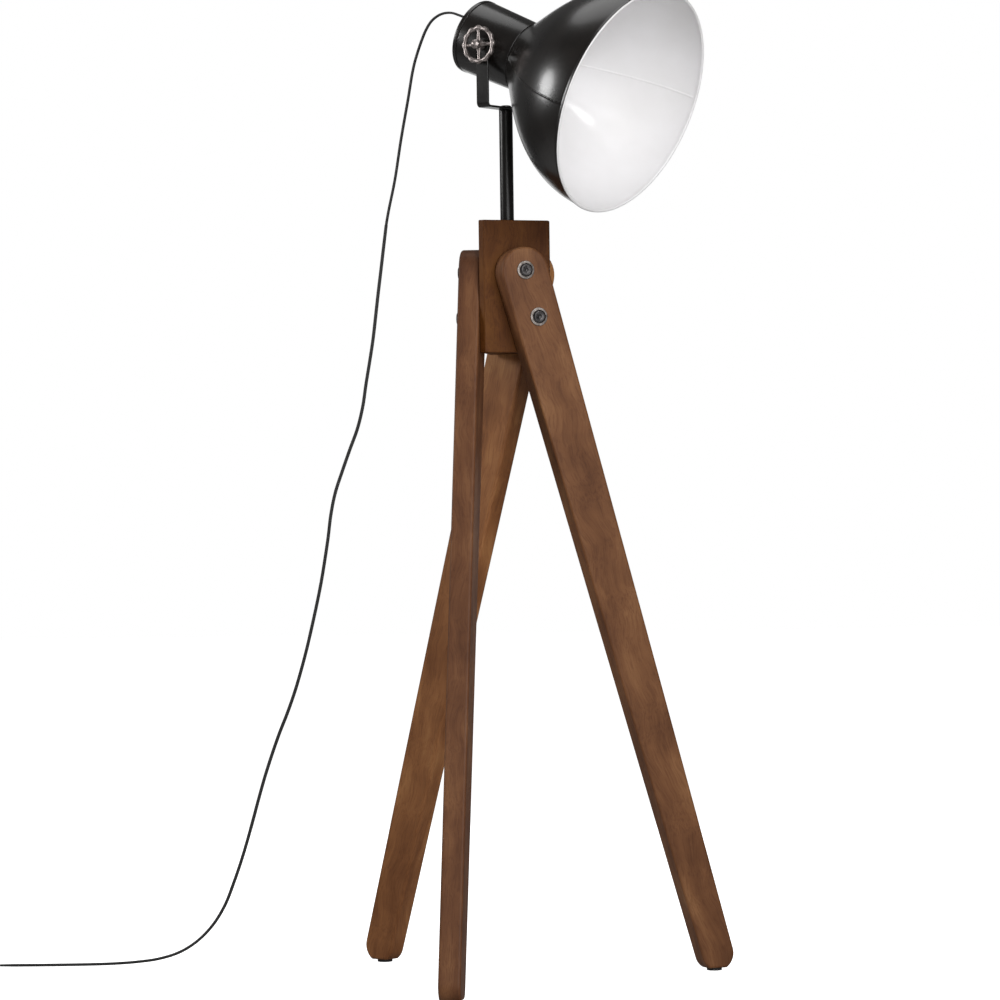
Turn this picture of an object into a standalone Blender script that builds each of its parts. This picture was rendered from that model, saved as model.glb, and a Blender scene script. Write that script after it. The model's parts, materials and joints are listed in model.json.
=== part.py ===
"""Tripod floor lamp: three flat wooden legs on a hub, a steel rod, a yoke and a tilting bowl shade.

Metres, +Z up. The shade faces right and forward (+X and -Y). The origin is on the floor, under the middle
of the lamp's box.
"""

from math import acos, cos, hypot, pi, radians, sin

import bmesh
import bpy
import numpy as np
from mathutils import Vector

GAP = 0.0003  # clearance between pieces that touch

# Tripod
TRIPOD_TURN = radians(22)  # the front leg's face turns this far to the right
HUB_INRADIUS = 0.0372  # from the hub's axis to each face that carries a leg
HUB_FACE_HALF = 0.0537
HUB_ABOVE_BOLTS = 0.0783  # from the upper bolts to the hub's top
HUB_BELOW_BOLTS = 0.1247
LEG_LEAN = radians(16.28)
LEG_TOP_WIDTH = 0.077
LEG_FOOT_WIDTH = 0.0537
LEG_THICKNESS = 0.034
LEG_EASE = 0.004  # rounding of the long edges
BOLT_HEIGHT = 1.0877  # the upper bolt of each leg
BOLT_SPACING = 0.0741
HUB_TOP = BOLT_HEIGHT + HUB_ABOVE_BOLTS
HUB_BOTTOM = BOLT_HEIGHT - HUB_BELOW_BOLTS
TOP_ARC_DROP = 0.003  # the rounded top is centred a little below the upper bolt
PAD_RADIUS = 0.0118
PAD_THICKNESS = 0.004

# Leg fixings
BOLT_RADIUS = 0.004
BOLT_HEAD_RADIUS = 0.0103
BOLT_HEAD_HEIGHT = 0.0035
SOCKET_APOTHEM = 0.0026
SOCKET_DEPTH = 0.0025
BOLT_REACH = 0.018  # how far a bolt goes into the hub
WASHER_RADIUS = 0.014
WASHER_THICKNESS = 0.0016
INSERT_RADIUS = 0.006

# Rod
ROD_RADIUS = 0.0105
ROD_WALL = 0.0015
ROD_RISE = 0.172  # above the hub
ROD_TOP = HUB_TOP + ROD_RISE
ROD_DEPTH = 0.080  # length held in the hub
ROD_SCREW_RADIUS = 0.005
ROD_NUT_LENGTH = 0.025
HUB_BOLT_SINK = 0.014
HUB_BOLT_APOTHEM = 0.0082
HUB_BOLT_HEAD = 0.0065
HUB_WASHER_RADIUS = 0.011
HUB_WASHER_THICKNESS = 0.0015
COUNTERBORE_RADIUS = 0.0145

# Head
PIVOT_RISE = 0.095  # from the rod's top to the tilt axis
PIVOT_HEIGHT = ROD_TOP + PIVOT_RISE
HEAD_TURN = radians(-34.5)
HEAD_TILT = radians(23)
HOUSING_REAR = -0.059  # along the head's axis, measured from the tilt axis
HOUSING_FRONT = 0.046
HOUSING_REAR_RADIUS = 0.0575
HOUSING_FRONT_RADIUS = 0.0545
HOUSING_WALL = 0.0012
CAP_LIP = 0.008
CAP_WALL = 0.0012
SHADE_RIM = 0.248
SHADE_RADIUS = 0.175
SHADE_WALL = 0.001
BEAD_RADIUS = 0.0022
GLAND_RISE = 0.020  # the cord leaves this far above the middle of the rear cap
GLAND_LENGTH = 0.022
GLAND_RADIUS = 0.0065
GLAND_STEM_RADIUS = 0.0045
HOLDER_BACK = -0.042  # the back of the lampholder, from the tilt axis
HOLDER_LENGTH = 0.050
HOLDER_RADIUS = 0.0205
HOLDER_MOUTH_RADIUS = 0.0172
HOLDER_STEM_RADIUS = 0.005
SHELL_RADIUS = 0.0169
SHELL_BORE = 0.0135
BRACKET_HALF_LENGTH = 0.030
BRACKET_HALF_WIDTH = 0.014
BRACKET_THICKNESS = 0.0024

# Yoke
YOKE_CLEARANCE = 0.0022  # between the housing and each arm, filled by a fibre washer
YOKE_THICKNESS = 0.0032
YOKE_WIDTH = 0.0217
YOKE_CORNER = 0.006
STUD_RADIUS = 0.004
STUD_NUT_APOTHEM = 0.0065
STUD_NUT_LENGTH = 0.0058
FIBRE_WASHER_RADIUS = 0.0095
PAN_WASHER_RADIUS = 0.0098
PAN_WASHER_THICKNESS = 0.0008
PAN_SCREW_HEAD_RADIUS = 0.0085
PAN_SCREW_HEAD_HEIGHT = 0.0018
PAN_SCREW_LENGTH = 0.020

# Knob wheels
WHEEL_RADIUS = 0.0288
WHEEL_LOBE = 0.0009
WHEEL_LOBES = 12
WHEEL_RIM = 0.0075  # rim width, inner edge to outer edge
WHEEL_THICKNESS = 0.007
WHEEL_BOSS = 0.0085
SPOKE_WIDTH = 0.0052
KNOB_LENGTH = 0.013
KNOB_NUT_LENGTH = 0.009

# Cord
CORD_RADIUS = 0.0027
COIL_RADIUS = 0.0285  # to the middle of the turns
COIL_CENTRE = Vector((-0.880, 0.1915, 0))
COIL_WIDTH = 0.0112
COIL_HEIGHT = 0.0112
COIL_LIFT = 0.0015  # the tie's band passes under the coil
TIE_THICKNESS = 0.001
TIE_UNDER = 0.0008  # the band is thinner under the coil
TIE_ANGLE = -0.9
PLUG_BACK = 0.0245  # from the point where the cord leaves the coil
PLUG_LENGTH = 0.036
PLUG_WIDTH = 0.035
PLUG_HEIGHT = 0.014
PIN_RADIUS = 0.002
PIN_LENGTH = 0.019
PIN_SPACING = 0.019

# The cord's free route from the rear gland to the coil, measured from the tripod's axis.
CORD_ROUTE = [
    (-0.0760, 0.0520, 1.4925), (-0.0910, 0.0610, 1.4965), (-0.1100, 0.0700, 1.4880),
    (-0.1225, 0.0760, 1.4715), (-0.1350, 0.0830, 1.4410), (-0.1440, 0.0880, 1.4105),
    (-0.1525, 0.0930, 1.3645), (-0.1645, 0.1010, 1.3025), (-0.1750, 0.1070, 1.2405),
    (-0.1885, 0.1140, 1.1780), (-0.1970, 0.1200, 1.1160), (-0.2055, 0.1260, 1.0535),
    (-0.2135, 0.1310, 0.9910), (-0.2245, 0.1370, 0.9280), (-0.2360, 0.1420, 0.8655),
    (-0.2590, 0.1480, 0.8025), (-0.2800, 0.1540, 0.7400), (-0.2900, 0.1590, 0.6770),
    (-0.3010, 0.1640, 0.6130), (-0.3150, 0.1690, 0.5500), (-0.3310, 0.1740, 0.4870),
    (-0.3510, 0.1790, 0.4230), (-0.3760, 0.1840, 0.3600), (-0.3980, 0.1890, 0.2960),
    (-0.4165, 0.1940, 0.2320), (-0.4360, 0.1980, 0.1680), (-0.4600, 0.2030, 0.1045),
    (-0.4775, 0.2060, 0.0725), (-0.5095, 0.2090, 0.0385), (-0.5400, 0.2115, 0.0205),
    (-0.5805, 0.2140, 0.0095), (-0.6415, 0.2180, 0.0040), (-0.7100, 0.2200, 0.0028),
    (-0.7700, 0.2205, 0.0028), (-0.8200, 0.2202, 0.0031), (-0.8575, 0.2200, 0.0042),
]

root = None


def clear_scene():
    for item in list(bpy.data.objects):
        bpy.data.objects.remove(item, do_unlink=True)


def material(name, colour, roughness, metallic=0.0):
    made = bpy.data.materials.new(name)
    made.use_nodes = True
    shader = made.node_tree.nodes["Principled BSDF"]
    shader.inputs["Base Color"].default_value = (*colour, 1)
    shader.inputs["Roughness"].default_value = roughness
    shader.inputs["Metallic"].default_value = metallic
    return made


def empty(name, parent=None, place=(0, 0, 0), turn=(0, 0, 0)):
    made = bpy.data.objects.new(name, None)
    bpy.context.scene.collection.objects.link(made)
    made.parent = parent
    made.location = place
    made.rotation_euler = turn
    return made


def add(name, bm, look, parent, place=(0, 0, 0), turn=(0, 0, 0)):
    """One named piece from a finished bmesh."""
    bmesh.ops.recalc_face_normals(bm, faces=bm.faces)
    mesh = bpy.data.meshes.new(name)
    bm.to_mesh(mesh)
    bm.free()
    mesh.shade_smooth()
    mesh.set_sharp_from_angle(angle=radians(35))
    mesh.materials.append(look)
    made = bpy.data.objects.new(name, mesh)
    bpy.context.scene.collection.objects.link(made)
    made.parent = parent
    made.location = place
    made.rotation_euler = turn
    return made


def combine(target, tools, operation):
    """Applies a Boolean with each tool in turn, and removes the tools."""
    for tool in tools:
        step = target.modifiers.new(operation.lower(), "BOOLEAN")
        step.operation = operation
        step.object = tool
    bpy.context.view_layer.update()
    graph = bpy.context.evaluated_depsgraph_get()
    target.data = bpy.data.meshes.new_from_object(target.evaluated_get(graph))
    target.modifiers.clear()
    for tool in tools:
        bpy.data.objects.remove(tool, do_unlink=True)
    return target


def lathe(profile, segments, closed=False):
    """Turns (radius, height) pairs about Z. A radius may be a function of the angle."""
    bm = bmesh.new()
    rows = []
    for radius, height in profile:
        if radius == 0:
            rows.append([bm.verts.new((0, 0, height))] * segments)
            continue
        row = []
        for step in range(segments):
            angle = 2 * pi * step / segments
            reach = radius(angle) if callable(radius) else radius
            row.append(bm.verts.new((reach * cos(angle), reach * sin(angle), height)))
        rows.append(row)
    pairs = list(zip(rows, rows[1:]))
    if closed:
        pairs.append((rows[-1], rows[0]))
    for low, high in pairs:
        for step in range(segments):
            after = (step + 1) % segments
            corners = dict.fromkeys((low[step], low[after], high[after], high[step]))
            if len(corners) > 2:
                bm.faces.new(list(corners))
    return bm


def hexagon(apothem):
    return lambda angle: apothem / cos((angle + pi / 6) % (pi / 3) - pi / 6)


def rod(radius, start, end, segments=24):
    return lathe([(0, start), (radius, start), (radius, end), (0, end)], segments)


def pipe(outer, inner, start, end, segments=24):
    return lathe([(outer, start), (outer, end), (inner, end), (inner, start)], segments, closed=True)


def block(low, high):
    bm = bmesh.new()
    bmesh.ops.create_cube(bm, size=1)
    low, high = Vector(low), Vector(high)
    bmesh.ops.scale(bm, vec=high - low, verts=bm.verts)
    bmesh.ops.translate(bm, vec=(low + high) / 2, verts=bm.verts)
    return bm


def extrude(outline, low, high):
    """Extrudes a flat outline of (x, z) pairs along Y."""
    bm = bmesh.new()
    face = bm.faces.new([bm.verts.new((x, low, z)) for x, z in outline])
    grown = bmesh.ops.extrude_face_region(bm, geom=[face])
    moved = [item for item in grown["geom"] if isinstance(item, bmesh.types.BMVert)]
    bmesh.ops.translate(bm, vec=(0, high - low, 0), verts=moved)
    return bm


def arc(centre, radius, start, end, steps):
    """Points on an arc in the XZ plane."""
    return [
        (centre[0] + radius * cos(start + (end - start) * i / steps),
         centre[1] + radius * sin(start + (end - start) * i / steps))
        for i in range(steps + 1)
    ]


def face_normal(turn):
    return Vector((sin(turn), -cos(turn), 0))


def face_along(turn):
    return Vector((cos(turn), sin(turn), 0))


def leg_turns():
    """Each leg's name and the direction of its hub face."""
    return [("front", TRIPOD_TURN), ("back", TRIPOD_TURN + 2 * pi / 3), ("left", TRIPOD_TURN - 2 * pi / 3)]


def bolt_places():
    """The upper and lower bolt, along the leg from its upper bolt."""
    return [("upper", 0.0), ("lower", -BOLT_SPACING)]


# ---- Tripod ----


def hub(look, frames):
    corners = [
        face_normal(turn) * HUB_INRADIUS + face_along(turn) * side * HUB_FACE_HALF
        for name, turn in leg_turns()
        for side in (-1, 1)
    ]
    bm = bmesh.new()
    face = bm.faces.new([bm.verts.new((p.x, p.y, HUB_BOTTOM)) for p in corners])
    grown = bmesh.ops.extrude_face_region(bm, geom=[face])
    moved = [item for item in grown["geom"] if isinstance(item, bmesh.types.BMVert)]
    bmesh.ops.translate(bm, vec=(0, 0, HUB_TOP - HUB_BOTTOM), verts=moved)
    bmesh.ops.bevel(bm, geom=bm.edges[:], offset=0.0015, segments=2, profile=0.5, affect="EDGES")
    made = add("hub_block", bm, look, root)
    past = 0.01
    rod_bottom = HUB_TOP - ROD_DEPTH
    bore = lathe(
        [
            (0, HUB_BOTTOM - past),
            (COUNTERBORE_RADIUS, HUB_BOTTOM - past),
            (COUNTERBORE_RADIUS, HUB_BOTTOM + HUB_BOLT_SINK),
            (ROD_SCREW_RADIUS + GAP, HUB_BOTTOM + HUB_BOLT_SINK),
            (ROD_SCREW_RADIUS + GAP, rod_bottom),
            (ROD_RADIUS + GAP, rod_bottom),
            (ROD_RADIUS + GAP, HUB_TOP + past),
            (0, HUB_TOP + past),
        ],
        24,
    )
    tools = [add("hub_bore", bore, look, root)]
    for name, frame in frames.items():
        for level, drop in bolt_places():
            hole = rod(INSERT_RADIUS + GAP, -0.005, BOLT_REACH + 0.002, 12)
            tools.append(add(f"hole_{name}_{level}", hole, look, frame, (0, 0, drop), (-pi / 2, 0, 0)))
    combine(made, tools, "DIFFERENCE")


def leg_outline():
    """The plank's outline from its upper bolt: round top, straight taper, round foot with a flat."""
    foot = LEG_FOOT_WIDTH / 2
    length = (BOLT_HEIGHT - foot) / cos(LEG_LEAN)
    down = -(pi / 2 + LEG_LEAN)
    flat = acos((foot - PAD_THICKNESS - GAP) / foot)
    points = arc((0, -TOP_ARC_DROP), LEG_TOP_WIDTH / 2, pi, 0, 12)
    points += arc((0, -length), foot, 0, down + flat, 6)
    points += arc((0, -length), foot, down - flat, -pi, 4)
    return points, length


def leg(name, frame, look):
    outline, length = leg_outline()
    bm = extrude(outline, -LEG_THICKNESS, 0)
    rims = [edge for edge in bm.edges if abs(edge.verts[0].co.y - edge.verts[1].co.y) < 1e-6]
    bmesh.ops.bevel(bm, geom=rims, offset=LEG_EASE, segments=2, profile=0.5, affect="EDGES")
    made = add(f"leg_{name}", bm, look, frame)
    tools = []
    for level, drop in bolt_places():
        hole = rod(BOLT_RADIUS + GAP, -0.01, LEG_THICKNESS + 0.01, 12)
        tools.append(add(f"leg_hole_{level}", hole, look, frame, (0, 0, drop), (pi / 2, 0, 0)))
    combine(made, tools, "DIFFERENCE")
    return length


def leg_fixings(name, frame, looks):
    """Each leg has two socket bolts, each with a washer outside and a threaded insert in the hub."""
    washer_at = LEG_THICKNESS + GAP
    head_at = washer_at + WASHER_THICKNESS + GAP
    top = head_at + BOLT_HEAD_HEIGHT
    for level, drop in bolt_places():
        place = (0, 0, drop)
        outward = (pi / 2, 0, 0)
        bolt = lathe(
            [
                (0, -BOLT_REACH + 0.001),
                (BOLT_RADIUS, -BOLT_REACH + 0.001),
                (BOLT_RADIUS, head_at),
                (BOLT_HEAD_RADIUS, head_at),
                (BOLT_HEAD_RADIUS, top - 0.0015),
                (BOLT_HEAD_RADIUS - 0.0015, top),
                (hexagon(SOCKET_APOTHEM), top),
                (hexagon(SOCKET_APOTHEM), top - SOCKET_DEPTH),
                (0, top - SOCKET_DEPTH),
            ],
            12,
        )
        add(f"bolt_{name}_{level}", bolt, looks["bolt"], frame, place, outward)
        washer = pipe(WASHER_RADIUS, BOLT_RADIUS + GAP, washer_at, washer_at + WASHER_THICKNESS, 16)
        add(f"washer_{name}_{level}", washer, looks["washer"], frame, place, outward)
        insert = pipe(INSERT_RADIUS, BOLT_RADIUS + GAP, -BOLT_REACH, -0.001, 12)
        add(f"insert_{name}_{level}", insert, looks["brass"], frame, place, outward)


def foot_pad(name, turn, length, look):
    out = HUB_INRADIUS + GAP + LEG_THICKNESS / 2
    place = face_normal(turn) * out + face_along(turn) * length * sin(LEG_LEAN)
    ease = 0.0006
    outline = [
        (0, 0),
        (PAD_RADIUS - ease, 0),
        (PAD_RADIUS, ease),
        (PAD_RADIUS, PAD_THICKNESS),
        (0, PAD_THICKNESS),
    ]
    add(f"foot_pad_{name}", lathe(outline, 24), look, root, place)


def tripod(looks):
    frames = {}
    for name, turn in leg_turns():
        place = face_normal(turn) * (HUB_INRADIUS + GAP) + Vector((0, 0, BOLT_HEIGHT))
        frames[name] = empty(f"leg_frame_{name}", root, place, (0, -LEG_LEAN, turn))
    hub(looks["wood"], frames)
    for name, turn in leg_turns():
        length = leg(name, frames[name], looks["wood"])
        leg_fixings(name, frames[name], looks)
        foot_pad(name, turn, length, looks["rubber"])


# ---- Rod ----


def column(looks):
    bottom = HUB_TOP - ROD_DEPTH + GAP
    bore = ROD_RADIUS - ROD_WALL
    add("rod_tube", pipe(ROD_RADIUS, bore, bottom, ROD_TOP, 32), looks["black"], root)
    thread = ROD_SCREW_RADIUS + GAP
    top_nut = pipe(bore - GAP, thread, ROD_TOP - ROD_NUT_LENGTH, ROD_TOP - 0.0002)
    add("rod_top_nut", top_nut, looks["steel"], root)
    low_nut = pipe(bore - GAP, thread, bottom, bottom + ROD_NUT_LENGTH)
    add("rod_bottom_nut", low_nut, looks["steel"], root)
    seat = HUB_BOTTOM + HUB_BOLT_SINK
    under = seat - GAP - HUB_WASHER_THICKNESS
    add("hub_washer", pipe(HUB_WASHER_RADIUS, thread, under, seat - GAP), looks["steel"], root)
    head = under - GAP
    screw = lathe(
        [
            (0, head - HUB_BOLT_HEAD),
            (hexagon(HUB_BOLT_APOTHEM), head - HUB_BOLT_HEAD),
            (hexagon(HUB_BOLT_APOTHEM), head),
            (ROD_SCREW_RADIUS, head),
            (ROD_SCREW_RADIUS, bottom + ROD_NUT_LENGTH - 0.004),
            (0, bottom + ROD_NUT_LENGTH - 0.004),
        ],
        24,
    )
    add("hub_bolt", screw, looks["bolt"], root)


# ---- Yoke ----


def yoke_half():
    """From the middle of the yoke to the inner face of an arm."""
    return HOUSING_REAR_RADIUS + YOKE_CLEARANCE


def strap():
    """A flat strip with round ends, bent into a U. Its path runs in the YZ plane of the pan frame."""
    half = yoke_half() + YOKE_THICKNESS / 2
    low = YOKE_THICKNESS / 2 + GAP
    rise = PIVOT_HEIGHT - ROD_TOP
    bend = YOKE_CORNER
    end = YOKE_WIDTH / 2
    path = []
    for step in range(8):
        angle = pi / 2 * (1 - step / 8)
        path.append((-half, rise + end * sin(angle), max(end * cos(angle), 0.0022)))
    path.append((-half, rise, end))
    for y, start in ((-half + bend, pi), (half - bend, 3 * pi / 2)):
        path += [(p[0], p[1], end) for p in arc((y, low + bend), bend, start, start + pi / 2, 5)]
    path += [(-y, z, width) for y, z, width in reversed(path[:9])]
    bm = bmesh.new()
    rows = []
    for i, (y, z, width) in enumerate(path):
        before, after = path[max(i - 1, 0)], path[min(i + 1, len(path) - 1)]
        run, up = after[0] - before[0], after[1] - before[1]
        size = hypot(run, up)
        side = (-up / size * YOKE_THICKNESS / 2, run / size * YOKE_THICKNESS / 2)
        rows.append(
            [bm.verts.new((x, y + way * side[0], z + way * side[1]))
             for x, way in ((-width, -1), (width, -1), (width, 1), (-width, 1))]
        )
    for low_row, high_row in zip(rows, rows[1:]):
        for step in range(4):
            after = (step + 1) % 4
            bm.faces.new((low_row[step], low_row[after], high_row[after], high_row[step]))
    bm.faces.new(rows[0])
    bm.faces.new(rows[-1])
    return bm


def yoke(pan, tilt_place, looks):
    made = add("yoke_strap", strap(), looks["black"], pan)
    reach = yoke_half() + 0.02
    tools = [
        add("yoke_pivot_hole", rod(STUD_RADIUS + GAP, -reach, reach), looks["black"], pan, tilt_place,
            (pi / 2, 0, 0)),
        add("yoke_pan_hole", rod(ROD_SCREW_RADIUS + GAP, -0.02, 0.02), looks["black"], pan),
    ]
    combine(made, tools, "DIFFERENCE")
    top = YOKE_THICKNESS + GAP
    washer_top = top + GAP + PAN_WASHER_THICKNESS
    washer = pipe(PAN_WASHER_RADIUS, ROD_SCREW_RADIUS + GAP, top + GAP, washer_top)
    add("pan_washer", washer, looks["steel"], pan)
    head = washer_top + GAP
    screw = lathe(
        [
            (0, -PAN_SCREW_LENGTH),
            (ROD_SCREW_RADIUS, -PAN_SCREW_LENGTH),
            (ROD_SCREW_RADIUS, head),
            (PAN_SCREW_HEAD_RADIUS, head),
            (PAN_SCREW_HEAD_RADIUS, head + PAN_SCREW_HEAD_HEIGHT / 2),
            (PAN_SCREW_HEAD_RADIUS - 0.002, head + PAN_SCREW_HEAD_HEIGHT),
            (0, head + PAN_SCREW_HEAD_HEIGHT),
        ],
        24,
    )
    add("pan_screw", screw, looks["bolt"], pan)
    inner = yoke_half() - YOKE_CLEARANCE + GAP
    for side, turn in (("near", pi / 2), ("far", -pi / 2)):
        ring = pipe(FIBRE_WASHER_RADIUS, STUD_RADIUS + GAP, inner + GAP, inner + YOKE_CLEARANCE - 2 * GAP)
        add(f"fibre_washer_{side}", ring, looks["rubber"], pan, tilt_place, (turn, 0, 0))


# ---- Head ----


def shade_radius(along):
    """The bowl's radius at a share of the way from its neck to its rim."""
    neck = HOUSING_FRONT_RADIUS
    return neck + (SHADE_RADIUS - neck) * (1 - (1 - along) ** 2.2) ** 1.25


def shade():
    neck = HOUSING_FRONT + GAP
    steps = 12
    outer = []
    for i in range(steps + 1):
        along = i / steps
        outer.append((shade_radius(along), neck + (SHADE_RIM - neck) * along))
    inner = []
    for i, (radius, x) in enumerate(outer):
        before, after = outer[max(i - 1, 0)], outer[min(i + 1, steps)]
        slope = Vector((after[0] - before[0], after[1] - before[1])).normalized()
        inner.append((radius - slope.y * SHADE_WALL, x + slope.x * SHADE_WALL))
    bead = [
        (SHADE_RADIUS + BEAD_RADIUS * cos(angle), SHADE_RIM + 0.001 + BEAD_RADIUS * sin(angle))
        for angle in (-pi / 4, 0, pi / 4, pi / 2, 3 * pi / 4, pi)
    ]
    sleeve = HOUSING_FRONT_RADIUS - HOUSING_WALL - GAP
    collar = [(sleeve - SHADE_WALL, neck - 0.016), (sleeve, neck - 0.016), (sleeve, neck)]
    last = (sleeve - SHADE_WALL, neck + 0.001)
    return lathe([*collar, *outer[:-1], *bead, *reversed(inner[1:-1]), last], 36, closed=True)


def housing():
    wall = HOUSING_WALL
    return lathe(
        [
            (HOUSING_REAR_RADIUS, HOUSING_REAR + CAP_LIP + 0.001),
            (HOUSING_FRONT_RADIUS, HOUSING_FRONT),
            (HOUSING_FRONT_RADIUS - wall, HOUSING_FRONT),
            (HOUSING_REAR_RADIUS - wall - 0.001, HOUSING_REAR + 0.0016),
            (HOUSING_REAR_RADIUS - 0.001, HOUSING_REAR + 0.0016),
            (HOUSING_REAR_RADIUS - 0.001, HOUSING_REAR + CAP_LIP + 0.001),
        ],
        32,
        closed=True,
    )


def rear_cap():
    """A shallow cup over the rear of the housing, with a rounded edge."""
    outer = HOUSING_REAR_RADIUS + 0.0005
    inner = HOUSING_REAR_RADIUS - 0.001 + GAP
    return lathe(
        [
            (0, HOUSING_REAR),
            (outer - 0.002, HOUSING_REAR),
            (outer, HOUSING_REAR + 0.002),
            (outer, HOUSING_REAR + CAP_LIP),
            (inner, HOUSING_REAR + CAP_LIP),
            (inner, HOUSING_REAR + CAP_WALL),
            (0, HOUSING_REAR + CAP_WALL),
        ],
        32,
    )


def lampholder(tilt, looks):
    """An E27 holder on a U bracket that stands on the rear cap. The bulb screws in from the shade's side."""
    along = (0, pi / 2, 0)
    place = (HOLDER_BACK, 0, 0)
    half = BRACKET_THICKNESS / 2
    corner = Vector((half, BRACKET_HALF_LENGTH, BRACKET_HALF_WIDTH))
    plate = block(-corner, corner)
    bracket = add("holder_bracket", plate, looks["steel"], tilt, place)
    foot = HOUSING_REAR + CAP_WALL + GAP - HOLDER_BACK
    feet = []
    for side in (-1, 1):
        leg_middle = side * (BRACKET_HALF_LENGTH - half)
        leg_low = (foot, leg_middle - half, -BRACKET_HALF_WIDTH)
        leg_high = (half, leg_middle + half, BRACKET_HALF_WIDTH)
        feet.append(add("bracket_foot", block(leg_low, leg_high), looks["steel"], tilt, place))
    combine(bracket, feet, "UNION")
    hole = rod(HOLDER_STEM_RADIUS + GAP, -0.01, 0.01)
    combine(bracket, [add("bracket_hole", hole, looks["steel"], tilt, place, along)], "DIFFERENCE")
    floor = 0.012
    front = half + GAP
    wire_bore = 0.0045
    body = lathe(
        [
            (wire_bore, -0.006),
            (HOLDER_STEM_RADIUS, -0.006),
            (HOLDER_STEM_RADIUS, front),
            (HOLDER_RADIUS - 0.004, front),
            (HOLDER_RADIUS - 0.002, 0.004),
            (HOLDER_RADIUS, HOLDER_LENGTH),
            (HOLDER_MOUTH_RADIUS, HOLDER_LENGTH),
            (HOLDER_MOUTH_RADIUS, floor),
            (wire_bore, floor),
        ],
        24,
        closed=True,
    )
    add("lampholder", body, looks["phenolic"], tilt, place, along)
    sleeve = pipe(SHELL_RADIUS, SHELL_BORE, floor + 0.004, HOLDER_LENGTH - 0.004, 28)
    add("screw_shell", sleeve, looks["brass"], tilt, place, along)
    contact = rod(wire_bore - GAP, 0.004, floor + 0.0025, 16)
    add("centre_contact", contact, looks["brass"], tilt, place, along)


def studs_and_nuts(tilt, looks):
    """Each side has a stud through the housing and the arm, held by a nut inside the housing."""
    corner = STUD_NUT_APOTHEM / cos(pi / 6)
    along = (corner - HOUSING_REAR) / (HOUSING_FRONT - HOUSING_REAR)
    rear = HOUSING_REAR_RADIUS - HOUSING_WALL - 0.001
    front = HOUSING_FRONT_RADIUS - HOUSING_WALL
    nut_top = rear + (front - rear) * along - corner**2 / (2 * front) - 2 * GAP
    nut_low = nut_top - STUD_NUT_LENGTH
    out = yoke_half() + YOKE_THICKNESS + 2 * GAP + KNOB_LENGTH + KNOB_NUT_LENGTH * 0.55
    for side, turn in (("near", pi / 2), ("far", -pi / 2)):
        around = (turn, 0, 0)
        stud = rod(STUD_RADIUS, nut_low - 0.002, out)
        add(f"tilt_stud_{side}", stud, looks["steel"], tilt, (0, 0, 0), around)
        nut = lathe(
            [
                (hexagon(STUD_NUT_APOTHEM), nut_low),
                (hexagon(STUD_NUT_APOTHEM), nut_top),
                (STUD_RADIUS + GAP, nut_top),
                (STUD_RADIUS + GAP, nut_low),
            ],
            24,
            closed=True,
        )
        add(f"stud_nut_{side}", nut, looks["steel"], tilt, (0, 0, 0), around)


def head(tilt, looks):
    along = (0, pi / 2, 0)
    body = add("lamp_housing", housing(), looks["black"], tilt, (0, 0, 0), along)
    reach = HOUSING_REAR_RADIUS + 0.02
    hole = rod(STUD_RADIUS + GAP, -reach, reach)
    holes = add("stud_holes", hole, looks["black"], tilt, (0, 0, 0), (pi / 2, 0, 0))
    combine(body, [holes], "DIFFERENCE")
    cap = add("rear_cap", rear_cap(), looks["black"], tilt, (0, 0, 0), along)
    gland_at = (HOUSING_REAR, 0, GLAND_RISE)
    hole = rod(GLAND_STEM_RADIUS + GAP, -0.01, 0.01)
    combine(cap, [add("gland_hole", hole, looks["black"], tilt, gland_at, along)], "DIFFERENCE")
    gland = lathe(
        [
            (GLAND_STEM_RADIUS, 0.005),
            (GLAND_STEM_RADIUS, -GAP),
            (GLAND_RADIUS, -GAP),
            (GLAND_RADIUS, -0.008),
            (GLAND_RADIUS - 0.0015, -GLAND_LENGTH),
            (CORD_RADIUS + 0.0005, -GLAND_LENGTH),
            (CORD_RADIUS + 0.0005, 0.005),
        ],
        24,
        closed=True,
    )
    add("cord_gland", gland, looks["rubber"], tilt, gland_at, along)
    add("shade_bowl", shade(), looks["black"], tilt, (0, 0, 0), along)
    lampholder(tilt, looks)
    studs_and_nuts(tilt, looks)


# ---- Knob wheels ----


def lobed(radius):
    return lambda angle: radius + WHEEL_LOBE * cos(WHEEL_LOBES * angle)


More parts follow.
